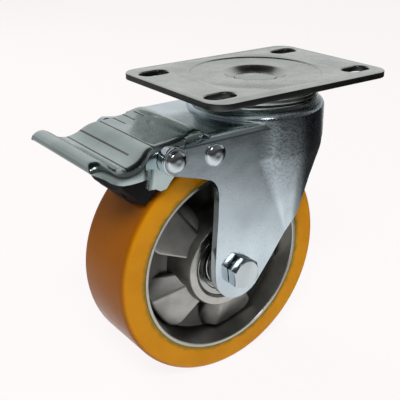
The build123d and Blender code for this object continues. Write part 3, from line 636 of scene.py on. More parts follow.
def turned(
    name: str,
    profile: Sequence[Flat],
    turning: Turning,
    centre: Point,
    steps: int,
    sharp: Optional[float] = None,
) -> bpy.types.Object:
    """Spins a profile about an axis, as on a lathe.

    Args:
        name: The piece's name.
        profile: (radius, place along the axis) corners in millimetres. Where neither
            end lies on the axis, the profile is a closed loop and the piece a ring.
        turning: The direction of the axis.
        centre: A point on the axis, from which places along it are measured.
        steps: Facets round the axis.
        sharp: The least angle that isn't shaded smooth, in degrees, or none for a tool.

    Returns:
        The turned piece.
    """
    x, y, z = centre
    if turning is Turning.Z:
        corners = [(x + radius, y, z + along) for radius, along in profile]
    else:
        corners = [(x + radius, y + along, z) for radius, along in profile]
    piece = drawn(name, corners, closed=min(profile[0][0], profile[-1][0]) > 0)
    middle = Vector(centre) * MM
    bpy.ops.mesh.spin(steps=steps, angle=math.tau, center=middle, axis=turning.value)
    closed_up(piece)
    if sharp is not None:
        smoothed(piece, sharp)
    return piece


def pressed_out(
    name: str, outline: Sequence[Flat], low: float, high: float, turning: Turning
) -> bpy.types.Object:
    """Fills an outline and gives it thickness along an axis.

    Args:
        name: The piece's name.
        outline: (x, z) corners for Y, or (x, y) corners for Z, in millimetres.
        low: Where the thickness starts along the axis.
        high: Where it ends.
        turning: The axis.

    Returns:
        The solid piece.
    """
    if turning is Turning.Z:
        corners = [(first, second, low) for first, second in outline]
    else:
        corners = [(first, low, second) for first, second in outline]
    piece = drawn(name, corners, closed=True)
    bpy.ops.mesh.edge_face_add()
    step = Vector(turning.value) * (high - low) * MM
    bpy.ops.mesh.extrude_region_move(TRANSFORM_OT_translate={"value": step})
    return closed_up(piece)


def arc(centre: Flat, radius: float, first: float, last: float, steps: int) -> list[Flat]:
    """Points round an arc.

    Args:
        centre: Its centre in millimetres.
        radius: Its radius.
        first: The angle of its first point in degrees.
        last: The angle of its last point.
        steps: Spans along it.

    Returns:
        The points, ends included.
    """
    angles = (math.radians(first + (last - first) * step / steps) for step in range(steps + 1))
    return [(centre[0] + radius * math.cos(a), centre[1] + radius * math.sin(a)) for a in angles]


def beyond(profile: Sequence[Flat]) -> list[Flat]:
    """A turned profile's mirror image beyond the middle plane, in the order that goes on."""
    return [(radius, -along) for radius, along in reversed(profile)]


def threads(radius: float, depth: float, pitch: float, first: float, last: float) -> list[Flat]:
    """The crests and roots of a thread, as part of a turned profile.

    Args:
        radius: The radius of the crests.
        depth: How much deeper the roots are.
        pitch: From crest to crest along the axis, below 0 where it runs down.
        first: The place of the first crest.
        last: The place that no crest is at or beyond.

    Returns:
        The corners.
    """
    found = []
    while (last - first) * pitch > 0:
        found += [(radius, first), (radius - depth, first + pitch / 2)]
        first += pitch
    return found


def fitted(piece: bpy.types.Object, other: bpy.types.Object, join: Join) -> None:
    """Cuts, joins or trims a piece by a second one, which is used up.

    Args:
        piece: The piece that stays.
        other: The second solid.
        join: What is done.
    """
    alone(piece)
    modifier = piece.modifiers.new("fit", "BOOLEAN")
    modifier.operation = join.value
    modifier.object = other
    modifier.solver = "EXACT"
    bpy.ops.object.modifier_apply(modifier=modifier.name)
    bpy.data.objects.remove(other)


def drilled(
    piece: bpy.types.Object, turning: Turning, centre: Point, radius: float, ends: Flat
) -> None:
    """Drills a round hole through a piece.

    Args:
        piece: The piece.
        turning: The direction of the hole.
        centre: A point on its axis, from which its ends are measured.
        radius: Its radius.
        ends: Where the drill starts and ends, both outside the piece.
    """
    first, last = ends
    profile = [(0.0, first), (radius, first), (radius, last), (0.0, last)]
    fitted(piece, turned("drill", profile, turning, centre, 48), Join.CUT)


def sliced(place: Vector, outwards: Vector) -> None:
    """Slices the solid that is in edit mode with a flat cut, and caps it.

    Args:
        place: A point on the cut, in millimetres.
        outwards: The way from the cut to what is thrown away.
    """
    bpy.ops.mesh.select_all(action="SELECT")
    bpy.ops.mesh.bisect(plane_co=place * MM, plane_no=outwards, use_fill=True, clear_outer=True)


def eased(piece: bpy.types.Object, width: float, segments: int, angle: float) -> None:
    """Rounds a piece's sharp edges.

    Args:
        piece: The piece.
        width: How far the rounding reaches, in millimetres.
        segments: Facets across it.
        angle: The least angle between two faces that counts as sharp, in degrees.
    """
    alone(piece)
    modifier = piece.modifiers.new("ease", "BEVEL")
    modifier.width = width * MM
    modifier.segments = segments
    modifier.limit_method = "ANGLE"
    modifier.angle_limit = math.radians(angle)
    bpy.ops.object.modifier_apply(modifier=modifier.name)


def joined(name: str, pieces: Sequence[bpy.types.Object]) -> bpy.types.Object:
    """Makes several loose solids one piece.

    Args:
        name: The new piece's name.
        pieces: The solids.

    Returns:
        The joined piece.
    """
    alone(pieces[0])
    for piece in pieces[1:]:
        piece.select_set(True)
    bpy.ops.object.join()
    pieces[0].name = pieces[0].data.name = name
    return pieces[0]


ACROSS = Matrix.Scale(-1.0, 4, (0.0, 1.0, 0.0))


def moved_copy(piece: bpy.types.Object, name: str, change: Matrix) -> bpy.types.Object:
    """A copy with its own mesh, moved, turned or mirrored in millimetres.

    Args:
        piece: The piece to copy.
        name: The copy's name.
        change: The change of place.

    Returns:
        The copy.
    """
    alone(piece)
    bpy.ops.object.duplicate()
    copy = bpy.context.object
    copy.name = copy.data.name = name
    to_mm = Matrix.Scale(1.0 / MM, 4)
    copy.data.transform(to_mm.inverted() @ change @ to_mm)
    if change.determinant() < 0:
        copy.data.flip_normals()
    return copy


def about(centre: Point, degrees: float, turning: Turning) -> Matrix:
    """A turn about an axis through a point, in millimetres."""
    shift = Matrix.Translation(centre)
    return shift @ Matrix.Rotation(math.radians(degrees), 4, turning.value) @ shift.inverted()


def across(piece: bpy.types.Object, name: str) -> bpy.types.Object:
    """A mirrored copy on the other side of the castor."""
    return moved_copy(piece, name, ACROSS)


def frame_copy(node: str, name: str) -> bpy.types.Object:
    """A copy of a node's mesh with its doubles merged and its flat faces whole again.

    Args:
        node: The node of the frame.
        name: The copy's name.

    Returns:
        The copy.
    """
    source = frame["nodes"][node]
    piece = bpy.data.objects.new(name, source.data.copy())
    piece.data.name = name
    bpy.context.scene.collection.objects.link(piece)
    opened(piece)
    bpy.ops.mesh.remove_doubles(threshold=NEARBY * MM)
    bpy.ops.mesh.dissolve_limited(angle_limit=math.radians(FLATNESS))
    bpy.ops.object.mode_set(mode="OBJECT")
    return piece


def smoothed(piece: bpy.types.Object, sharp: float, weighed: bool = False) -> None:
    """Shades a piece smooth except across its sharp edges.

    Args:
        piece: The piece.
        sharp: The least angle that stays sharp, in degrees.
        weighed: Whether normals are weighed by area, so that large flat faces stay flat.
    """
    alone(piece)
    bpy.ops.object.shade_smooth_by_angle(angle=math.radians(sharp))
    if weighed:
        modifier = piece.modifiers.new("weigh", "WEIGHTED_NORMAL")
        modifier.keep_sharp = True
        modifier.weight = 80
        bpy.ops.object.modifier_apply(modifier=modifier.name)


def stand_in(
    piece: bpy.types.Object, palette: Palette, node: str, *finishes: Finish
) -> bpy.types.Object:
    """Dresses a finished piece and puts it in the place of its node of the frame.

    Args:
        piece: The piece.
        palette: The finished materials.
        node: The node that it replaces, and whose body it rides on.
        *finishes: One finish for each of its material slots.

    Returns:
        The same piece.
    """
    palette.put(piece, *finishes)
    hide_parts(node)
    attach(piece, BODY_OF[node])
    LOG.info("%s replaces %s on %s", piece.name, node, BODY_OF[node])
    return piece


# ---- top plate and swivel ----------------------------------------------------------
@dataclass
class TopPlate:
    """The pressed mounting plate: four slots, a shallow round dish, a dimple and its boss."""

    length: float = 146.0
    width: float = 108.0
    thick: float = 4.0
    corner: float = 12.0
    edge: float = 0.7
    slot_place: Flat = (57.0, 36.0)
    slot_length: float = 21.4
    slot_width: float = 12.9
    mouth: float = 0.8
    mouth_depth: float = 0.7
    dish_r: float = 43.6
    dish_depth: float = 0.8
    dimple_top_r: float = 22.0
    dimple_floor_r: float = 15.6
    dimple_depth: float = 4.9
    foot: float = -7.9
    boss_r: float = 42.0
    funnel_r: float = 27.0
    funnel_foot_r: float = 19.0
    shank_r: float = 10.0

    def blank(self) -> bpy.types.Object:
        """The plain plate with its corners rounded.

        Returns:
            The blank.
        """
        bpy.ops.object.select_all(action="DESELECT")
        bpy.ops.mesh.primitive_plane_add(size=MM)
        plate = just_added("plate")
        bpy.ops.object.mode_set(mode="EDIT")
        bpy.ops.transform.resize(value=(self.length, self.width, 1.0))
        bpy.ops.mesh.bevel(offset=self.corner * MM, affect="VERTICES", segments=12)
        bpy.ops.mesh.select_all(action="SELECT")
        step = (0.0, 0.0, -self.thick * MM)
        bpy.ops.mesh.extrude_region_move(TRANSFORM_OT_translate={"value": step})
        return closed_up(plate)

    def slot(self) -> bpy.types.Object:
        """The tool that cuts one bolt slot, at the middle of the plate.

        Returns:
            The cutting tool.
        """
        radius = self.slot_width / 2
        run = self.slot_length / 2 - radius
        outline = arc((run, 0.0), radius, -90, 90, 12) + arc((-run, 0.0), radius, 90, 270, 12)
        tool = pressed_out("slot_tool", outline, -self.thick - 2, -self.mouth_depth, Turning.Z)
        opened(tool)
        pick_faces(tool, Turning.Z.value, 0.9)
        rise = {"value": (0.0, 0.0, (self.mouth_depth + 0.05) * MM)}
        bpy.ops.mesh.extrude_region_move(TRANSFORM_OT_translate=rise)
        wide = (1 + 2 * self.mouth / self.slot_length, 1 + 2 * self.mouth / self.slot_width, 1)
        bpy.ops.transform.resize(value=wide, center_override=(0.0, 0.0, 0.0))
        rise = {"value": (0.0, 0.0, 2 * MM)}
        bpy.ops.mesh.extrude_region_move(TRANSFORM_OT_translate=rise)
        return closed_up(tool)

    def dish(self) -> list[Flat]:
        """The dish's profile, from outside in: a crisp step, then the dimple's soft fall.

        Returns:
            The profile.
        """
        depth, top, floor = self.dish_depth, self.dimple_top_r, self.dimple_floor_r
        profile = [
            (0.0, 2.0),
            (self.dish_r + 0.55, 2.0),
            (self.dish_r + 0.55, 0.02),
            (self.dish_r + 0.15, -0.12),
            (self.dish_r - 0.25, -depth + 0.12),
            (self.dish_r - 0.65, -depth),
        ]
        steps = 12
        fall = self.dimple_depth - depth
        for step in range(steps + 1):
            share = step / steps
            soft = share * share * (3 - 2 * share)
            radius = top + 0.8 - (top - floor + 1.2) * share
            profile.append((radius, -depth - fall * soft))
        return profile + [(0.0, -self.dimple_depth)]

    def build(self, palette: Palette) -> None:
        """Models, dresses and places the plate.

        Args:
            palette: The finished materials.
        """
        plate = self.blank()
        tool = self.slot()
        x, y = self.slot_place
        for place in ((x, y, 0.0), (x, -y, 0.0), (-x, y, 0.0), (-x, -y, 0.0)):
            fitted(plate, moved_copy(tool, "slot_copy", Matrix.Translation(place)), Join.CUT)
        bpy.data.objects.remove(tool)
        eased(plate, self.edge, 3, 40.0)
        under, foot = -self.thick - self.dish_depth, self.foot
        boss = [
            (0.0, -1.0), (self.boss_r, -1.0), (self.boss_r, under + 0.6),
            (self.boss_r - 0.6, under), (self.funnel_r, under), (self.funnel_foot_r, foot),
            (0.0, foot),
        ]
        fitted(plate, turned("boss", boss, Turning.Z, KING_PIN, 120), Join.ADD)
        fitted(plate, turned("dish_tool", self.dish(), Turning.Z, KING_PIN, 120), Join.CUT)
        drilled(plate, Turning.Z, KING_PIN, self.shank_r, (2.0, foot - 1))
        smoothed(plate, 28.0)
        stand_in(plate, palette, "top_plate", Finish.PLATE)


@dataclass
class Swivel:
    """The king pin and the two races that the fork turns in."""

    head_r: float = 14.0
    head_top: float = -3.5
    head_low: float = -4.9
    shank_r: float = 10.0
    thread_r: float = 8.0
    thread_depth: float = 0.7
    thread_pitch: float = 1.5
    shank_low: float = -29.7
    thread_low: float = -40.5
    bore_r: float = 27.5
    ball_pitch_r: float = 34.0
    ball_level: float = -12.7
    upper_track_r: float = 3.325
    lower_track_r: float = 3.195
    upper_top: float = -4.8
    upper_step: float = -9.0
    upper_low: float = -12.6
    upper_neck_r: float = 41.6
    upper_r: float = 42.0
    lower_top: float = -13.2
    lower_r: float = 38.5
    lip_r: float = 42.3
    lip_top: float = -13.7
    lip_low: float = -15.0
    lower_low: float = -17.0

    def king_pin(self) -> bpy.types.Object:
        """The pin with its clenched button head and a threaded end.

        Returns:
            The pin.
        """
        head = [(0.0, self.head_top - 0.15), (self.head_r * 0.45, self.head_top - 0.08)]
        head += arc((self.head_r - 0.6, self.head_top - 0.6), 0.6, 78, 0, 4)
        head += [(self.head_r - 0.1, self.head_low + 0.1), (self.head_r - 0.2, self.head_low)]
        shank = [(self.shank_r, self.head_low), (self.shank_r, self.shank_low)]
        radius, start, end = self.thread_r, self.shank_low, self.thread_low
        shank += [(radius, start)]
        shank += threads(radius, self.thread_depth, -self.thread_pitch, start - 0.6, end + 1.4)
        profile = head + shank + [(radius - 1.0, end), (0.0, end)]
        return turned("king_pin_turned", profile, Turning.Z, KING_PIN, 72, 40.0)

    def upper_race(self) -> bpy.types.Object:
        """The race under the plate, stepped, with its ball track.

        Returns:
            The race.
        """
        track = self.upper_track_r
        lean = math.degrees(math.asin((self.upper_low - self.ball_level) / track))
        neck, top, step = self.upper_neck_r, self.upper_top, self.upper_step
        profile = [(self.bore_r, top), (neck - 0.5, top), (neck, top - 0.5)]
        profile += [(neck - 0.05, step + 0.55), (neck - 0.45, step + 0.3), (neck - 0.4, step)]
        profile += arc((self.upper_r - 0.8, step - 0.8), 0.8, 75, 0, 3)
        profile += arc((self.upper_r - 0.9, self.upper_low + 0.9), 0.9, 0, -90, 4)
        profile += arc((self.ball_pitch_r, self.ball_level), track, lean, 180 - lean, 14)
        profile += [(self.bore_r, self.upper_low)]
        return turned("upper_race_pressed", profile, Turning.Z, KING_PIN, 144, 32.0)

    def lower_race(self) -> bpy.types.Object:
        """The race on the fork's crown, with a thin lip that sheds dirt.

        Returns:
            The race.
        """
        track = self.lower_track_r
        lean = math.degrees(math.asin((self.ball_level - self.lower_top) / track))
        profile = [(self.bore_r, self.lower_low), (self.bore_r, self.lower_top)]
        profile += arc((self.ball_pitch_r, self.ball_level), track, 180 + lean, 360 - lean, 14)
        wall, lip = self.lower_r, self.lip_r
        profile += [(wall - 0.2, self.lower_top), (wall, self.lower_top - 0.2)]
        profile += [(wall, self.lip_top), (lip - 0.3, self.lip_top), (lip, self.lip_top - 0.3)]
        profile += [(lip, self.lip_low + 0.3), (lip - 0.3, self.lip_low), (wall, self.lip_low)]
        profile += [(wall, self.lower_low)]
        return turned("lower_race_pressed", profile, Turning.Z, KING_PIN, 144, 32.0)

    def build(self, palette: Palette) -> None:
        """Models, dresses and places the swivel's pieces.

        Args:
            palette: The finished materials.
        """
        stand_in(self.king_pin(), palette, "king_pin", Finish.PLATE)
        stand_in(self.upper_race(), palette, "upper_race", Finish.RACE)
        stand_in(self.lower_race(), palette, "lower_race", Finish.RACE)


# ---- wheel ---------------------------------------------------------------------------
@dataclass
class Wheel:
    """The cast centre and its urethane tread."""

    tread_r: float = 80.0
    tread_half: float = 25.0
    shoulder_r: float = 3.8
    key_r: float = 65.0
    key_half: float = 7.0
    rim_half: float = 24.8
    lip: float = 2.0
    web_half: float = 7.0
    hub_r: float = 30.5
    hub_half: float = 27.0
    lead_r: float = 25.2
    shoulder_bore_r: float = 21.5
    # The casting's face from the hub's foot to the rim's, by its height over the web.
    face: tuple[Flat, ...] = (
        (33.9, 7.6), (34.7, 4.0), (36.4, 1.4), (39.0, 0.2), (41.0, 0.0), (53.5, 0.0),
        (55.6, 0.5), (56.9, 2.2), (57.3, 4.5),
    )
    pads: int = 5
    pad_first: float = 65.0
    pad_span: float = 48.0
    pad_inner_r: float = 29.0
    pad_outer_r: float = 56.0
    pad_corner: float = 6.5
    # A pad's flat face falls between two radii. Its flank leaves it at a ridge.
    pad_high_r: float = 31.5
    pad_low_r: float = 54.0
    pad_ridge_r: float = 45.0
    pad_hub_face: float = 21.5
    pad_rim_face: float = 14.5
    pad_slope: float = 14.0
    pad_easing: float = 1.6

    def tread(self) -> bpy.types.Object:
        """The cast tread, with rounded shoulders and a thin flash where it meets the rim.

        Returns:
            The tread.
        """
        half, inner, corner = self.tread_half, RIM_R, self.shoulder_r
        out = [(self.key_r, 0.0), (self.key_r, self.key_half), (inner, self.key_half + 1)]
        out += [(inner, half - 0.5), (inner + 0.5, half - 0.2), (inner + 1.1, half - 0.05)]
        out += arc((self.tread_r - corner, half - corner), corner, 90, 0, 8)
        return turned("tread_cast", out + beyond(out[1:]), Turning.Y, AXLE, 180, 40.0)

    def pad_outline(self) -> list[Flat]:
        """One pad seen along the axle, about +X, with rounded corners at the rim.

        Returns:
            Its corners.
        """
        half, corner = self.pad_span / 2, self.pad_corner
        middle, turn_r = (AXLE[0], AXLE[2]), self.pad_outer_r - corner
        square = half - math.degrees(math.asin(corner / turn_r))
        low_corner, high_corner = arc(middle, turn_r, -square, square, 1)
        outline = arc(middle, self.pad_inner_r, half, -half, 8)
        outline += arc(low_corner, corner, -half - 90, -square, 7)
        outline += arc(middle, self.pad_outer_r, -square, square, 12)[1:-1]
        return outline + arc(high_corner, corner, square, half + 90, 7)

    def pad(self) -> bpy.types.Object:
        """One raised pad between the hub and the rim, on the far side, along +X.

        Returns:
            The pad.
        """
        top, bottom = self.hub_half, self.web_half - 2
        pad = pressed_out("pad", self.pad_outline(), bottom, top, Turning.Y)
        x, _, z = AXLE
        run = self.pad_low_r - self.pad_high_r
        fall = self.pad_hub_face - self.pad_rim_face
        opened(pad)
        high = Vector((x + self.pad_high_r, self.pad_hub_face, z))
        sliced(high, Vector((fall, run, 0.0)).normalized())
        turn = math.radians(-self.pad_span / 2 + self.pad_slope)
        level = self.pad_hub_face - fall * (self.pad_ridge_r - self.pad_high_r) / run
        foot = level - self.web_half - 0.5
        width = self.pad_ridge_r * math.sin(math.radians(self.pad_slope))
        out_x, out_z = math.cos(turn), math.sin(turn)
        along = Vector((out_x * run, -fall, out_z * run)).normalized()
        down = Vector((out_z * width, -foot, -out_x * width)).normalized()
        ridge = Vector((x + out_x * self.pad_ridge_r, level, z + out_z * self.pad_ridge_r))
        sliced(ridge, along.cross(down))
        pick_faces(pad, Turning.Y.value, 0.6)
        bpy.ops.mesh.bevel(offset=self.pad_easing * MM, affect="EDGES", segments=4)
        return closed_up(pad)

    def centre(self) -> bpy.types.Object:
        """The casting: rim, web and hub turned in one, with ten pads joined on.

        Returns:
            The casting.
        """
        bore, seat = self.shoulder_bore_r, SEAT_R
        half = [(bore, 0.0), (bore, SEAT_FLOOR), (seat, SEAT_FLOOR), (seat, SEAT_FACE)]
        half += [(self.lead_r, self.hub_half)]
        half += arc((self.hub_r - 1.0, self.hub_half - 1.0), 1.0, 90, 15, 3)
        half += [(radius, self.web_half + rise) for radius, rise in self.face]
        half += [(RIM_R - self.lip - 0.2, self.rim_half - 0.5)]
        half += [(RIM_R - self.lip + 0.3, self.rim_half), (RIM_R, self.rim_half)]
        half += [(RIM_R, self.key_half + 1), (self.key_r, self.key_half)]
        casting = turned("wheel_casting", half + beyond(half[1:]), Turning.Y, AXLE, 180)
        pad = self.pad()
        for index in range(self.pads):
            turn = about(AXLE, -(self.pad_first + 360 * index / self.pads), Turning.Y)
            for change in (turn, ACROSS @ turn):
                fitted(casting, moved_copy(pad, "pad_copy", change), Join.ADD)
        bpy.data.objects.remove(pad)
        smoothed(casting, 30.0)
        return casting

    def mark_machined(self, casting: bpy.types.Object) -> None:
        """Puts the turned faces, at the hub and the rim's lip, in the second slot.

        Args:
            casting: The casting.
        """
        middle = Vector(AXLE) * MM
        for face in casting.data.polygons:
            out = face.center - middle
            radius = math.hypot(out.x, out.z) / MM
            along = abs(out.y) / MM
            lip = radius > RIM_R - self.lip - 0.4 and along > self.rim_half - 0.8
            hub = radius < self.hub_r - 0.6 and along > SEAT_FACE
            face.material_index = 1 if lip or hub or radius < SEAT_R + 0.2 else 0

    def build(self, palette: Palette) -> None:
        """Models, dresses and places the wheel's pieces.

        Args:
            palette: The finished materials.
        """
        stand_in(self.tread(), palette, "tread", Finish.AMBER)
        casting = stand_in(self.centre(), palette, "wheel_centre", Finish.CAST, Finish.RIM)
        self.mark_machined(casting)


@dataclass
class Bearings:
    """The two ball bearings pressed into the hub, each with a shield on both faces."""

    bore_r: float = 10.0
    inner_r: float = 14.3
    outer_r: float = 18.9
    ball_pitch_r: float = 16.75
    # Each ring's ball track: its radius, and half the angle that it spans.
    inner_track: Flat = (4.12, 53.5)
    outer_track: Flat = (3.99, 57.3)
    # The faces that the shields' outsides are level with.
    shield_faces: Flat = (25.0, 13.8)

    def outer_ring(self) -> bpy.types.Object:
        """The far bearing's outer ring, with its track inside.

        Returns:
            The ring.
        """
        low, high, bore = SEAT_FLOOR, SEAT_FACE, self.outer_r
        profile = [(bore, low + 0.5), (bore + 0.5, low), (SEAT_R - 0.5, low)]
        profile += [(SEAT_R, low + 0.5), (SEAT_R, high - 0.6), (SEAT_R - 0.6, high)]
        profile += [(bore + 0.6, high), (bore, high - 0.5)]
        radius, span = self.outer_track
        profile += arc((self.ball_pitch_r, (low + high) / 2), radius, span, -span, 8)
        return turned("bearing_outer_ring", profile, Turning.Y, AXLE, 96, 35.0)

    def inner_ring(self) -> bpy.types.Object:
        """The far bearing's inner ring, with its track outside.

        Returns:
            The ring.
        """
        low, high, bore, wall = SEAT_FLOOR, SEAT_FACE, self.bore_r, self.inner_r
        profile = [(bore, low + 0.5), (bore + 0.5, low), (wall - 0.4, low), (wall, low + 0.4)]
        radius, span = self.inner_track
        profile += arc((self.ball_pitch_r, (low + high) / 2), radius, 180 + span, 180 - span, 8)
        profile += [(wall, high - 0.4), (wall - 0.4, high), (bore + 0.6, high), (bore, high - 0.6)]
        return turned("bearing_inner_ring", profile, Turning.Y, AXLE, 72, 35.0)

    def shields(self) -> bpy.types.Object:
        """The pressed shields of both bearings, as one piece.

        Returns:
            The shields.
        """
        made = []
        inner, outer = self.inner_r + 0.3, self.outer_r
        for face in self.shield_faces:
            profile = [(inner, face - 0.8), (inner, face), (inner + 1.0, face)]
            profile += [(inner + 1.4, face - 0.3), (outer - 1.5, face - 0.3)]
            profile += [(outer - 1.1, face), (outer, face), (outer, face - 0.8)]
            made.append(turned("shield", profile, Turning.Y, AXLE, 72, 35.0))
        return joined("bearing_shields_pressed", made + [across(one, "shield") for one in made])

    def build(self, palette: Palette) -> None:
        """Models, dresses and places the bearings' pieces.

        Args:
            palette: The finished materials.
        """
        for ring, name in ((self.outer_ring(), "outer"), (self.inner_ring(), "inner")):
            near = across(ring, f"{ring.name}_near")
            stand_in(near, palette, f"bearing_{name}_near", Finish.BEARING)
            stand_in(ring, palette, f"bearing_{name}_far", Finish.BEARING)
        stand_in(self.shields(), palette, "bearing_shields", Finish.BEARING)


# ---- fork and axle --------------------------------------------------------------------
@dataclass
class Fork:
    """The pressed fork, with the torn edges of its sheet rolled over a little."""

    edge: float = 0.7

    def build(self, palette: Palette) -> None:
        """Models, dresses and places the fork.

        Args:
            palette: The finished materials.
        """
        fork = frame_copy("fork", "fork_pressing")
        eased(fork, self.edge, 2, 40.0)
        smoothed(fork, 35.0, weighed=True)
        stand_in(fork, palette, "fork", Finish.FORK)


@dataclass
class Axle:
    """The axle bolt, its washer and locking nut, and the two bushes beside the hub."""

    shank_r: float = 6.0
    flats: float = 19.0
    turn: float = 36.0
    head_thick: float = 7.6
    seat_thick: float = 0.6
    seat_r: float = 8.7
    washer_r: float = 12.0
    washer_thick: float = 2.5
    nut_thick: float = 12.0
    collar: float = 4.0
    proud: float = 2.0
    thread_pitch: float = 1.75
    thread_depth: float = 0.6
    chamfer_angle: float = 30.0
    edge: float = 0.25
    tube_r: float = 10.0
    nose_r: float = 13.3
    nose_face: float = 28.0
    flange_r: float = 17.0

    def chamfer(self) -> Flat:
        """The radius beyond a hexagon's corners, and how far it is turned down to its flats."""
        wide = self.flats / math.sqrt(3) + 0.2
        return wide, (wide - self.flats / 2) * math.tan(math.radians(self.chamfer_angle))

    def hexagon(self, name: str, low: float, high: float, cone: Sequence[Flat]) -> bpy.types.Object:
        """A hexagonal bar along the axle with its corners turned down.

        Args:
            name: The bar's name.
            low: Its lower end along Y.
            high: Its higher end.
            cone: The profile that it is turned to.

        Returns:
            The bar.
        """
        corner_r = self.flats / math.sqrt(3)
        outline = arc((AXLE[0], AXLE[2]), corner_r, self.turn, self.turn + 300, 5)
        bar = pressed_out(name, outline, low, high, Turning.Y)
        fitted(bar, turned("cone", cone, Turning.Y, AXLE, 72), Join.TRIM)
        eased(bar, self.edge, 2, 20.0)
        return bar

    def bolt(self) -> bpy.types.Object:
        """The bolt: a chamfered head on a thin seat, a shank and a threaded end.

        Returns:
            The bolt.
        """
        face, seat = -FORK_HALF - self.head_thick, -FORK_HALF - self.seat_thick
        wide, fall = self.chamfer()
        cone = [(0.0, face), (self.flats / 2 - 0.2, face), (wide, face + fall)]
        cone += [(wide, seat + 1), (0.0, seat + 1)]
        bolt = self.hexagon("axle_bolt_turned", face, seat, cone)
        end = FORK_HALF + self.washer_thick + self.nut_thick + self.proud
        radius, start = self.shank_r, end - self.proud
        shank = [(0.0, seat - 0.5), (self.seat_r, seat - 0.5), (self.seat_r, -FORK_HALF)]
        shank += [(radius, -FORK_HALF), (radius, start - 1)]
        shank += threads(radius, self.thread_depth, self.thread_pitch, start - 0.5, end - 1.2)
        shank += [(radius - 0.9, end), (0.0, end)]
        fitted(bolt, turned("shank", shank, Turning.Y, AXLE, 48), Join.ADD)
        smoothed(bolt, 25.0)
        return bolt

    def washer(self) -> bpy.types.Object:
        """The flat washer under the nut.

        Returns:
            The washer.
        """
        low, high = FORK_HALF, FORK_HALF + self.washer_thick
        inner, outer = self.shank_r, self.washer_r
        profile = [
            (inner, low), (outer - 0.3, low), (outer, low + 0.3), (outer, high - 0.5),
            (outer - 0.5, high), (inner + 0.4, high), (inner, high - 0.4),
        ]
        return turned("axle_washer_pressed", profile, Turning.Y, AXLE, 72, 30.0)

    def nut(self) -> bpy.types.Object:
        """The locking nut: a hexagon with a rolled collar over its insert.

        Returns:
            The nut.
        """
        low = FORK_HALF + self.washer_thick
        high = low + self.nut_thick
        top = high - self.collar + 1
        wide, fall = self.chamfer()
        cone = [(0.0, low), (wide - 0.3, low), (wide, low + 0.3), (wide, top - fall)]
        cone += [(self.flats / 2 - 0.2, top), (0.0, top)]
        nut = self.hexagon("axle_nut_turned", low, top, cone)
        rim = self.flats / 2 - 0.6
        collar = [(0.0, top - 1.5), (rim, top - 1.5), (rim, high - 1.6)]
        collar += arc((rim - 1.4, high - 1.4), 1.4, 0, 90, 5) + [(7.2, high), (7.0, high - 1.2)]
        collar += [(0.0, high - 1.2)]
        fitted(nut, turned("collar", collar, Turning.Y, AXLE, 72), Join.ADD)
        drilled(nut, Turning.Y, AXLE, self.shank_r, (low - 1, high + 1))
        smoothed(nut, 25.0)
        return nut

    def bush(self) -> bpy.types.Object:
        """The far bush between the bearing and the fork's leg.

        Returns:
            The bush.
        """
        wall, start, step = FORK_HALF - FORK_SHEET, SEAT_FACE, self.nose_face
        bore, nose, flange = self.tube_r, self.nose_r, self.flange_r
        profile = [
            (bore, start), (nose - 0.4, start), (nose, start + 0.4), (nose, step),
            (flange - 0.6, step), (flange, step + 0.6), (flange, wall - 0.6), (flange - 0.6, wall),
            (bore, wall),
        ]
        return turned("side_bush_turned_far", profile, Turning.Y, AXLE, 72, 35.0)

    def build(self, palette: Palette) -> None:
        """Models, dresses and places the axle's pieces.

        Args:
            palette: The finished materials.
        """
        stand_in(self.bolt(), palette, "axle_bolt", Finish.SMALL)
        stand_in(self.washer(), palette, "axle_washer", Finish.SMALL)
        stand_in(self.nut(), palette, "axle_nut", Finish.SMALL)
        far = self.bush()
        near = across(far, "side_bush_turned_near")
        stand_in(far, palette, "side_bush_far", Finish.DARK)
        stand_in(near, palette, "side_bush_near", Finish.DARK)


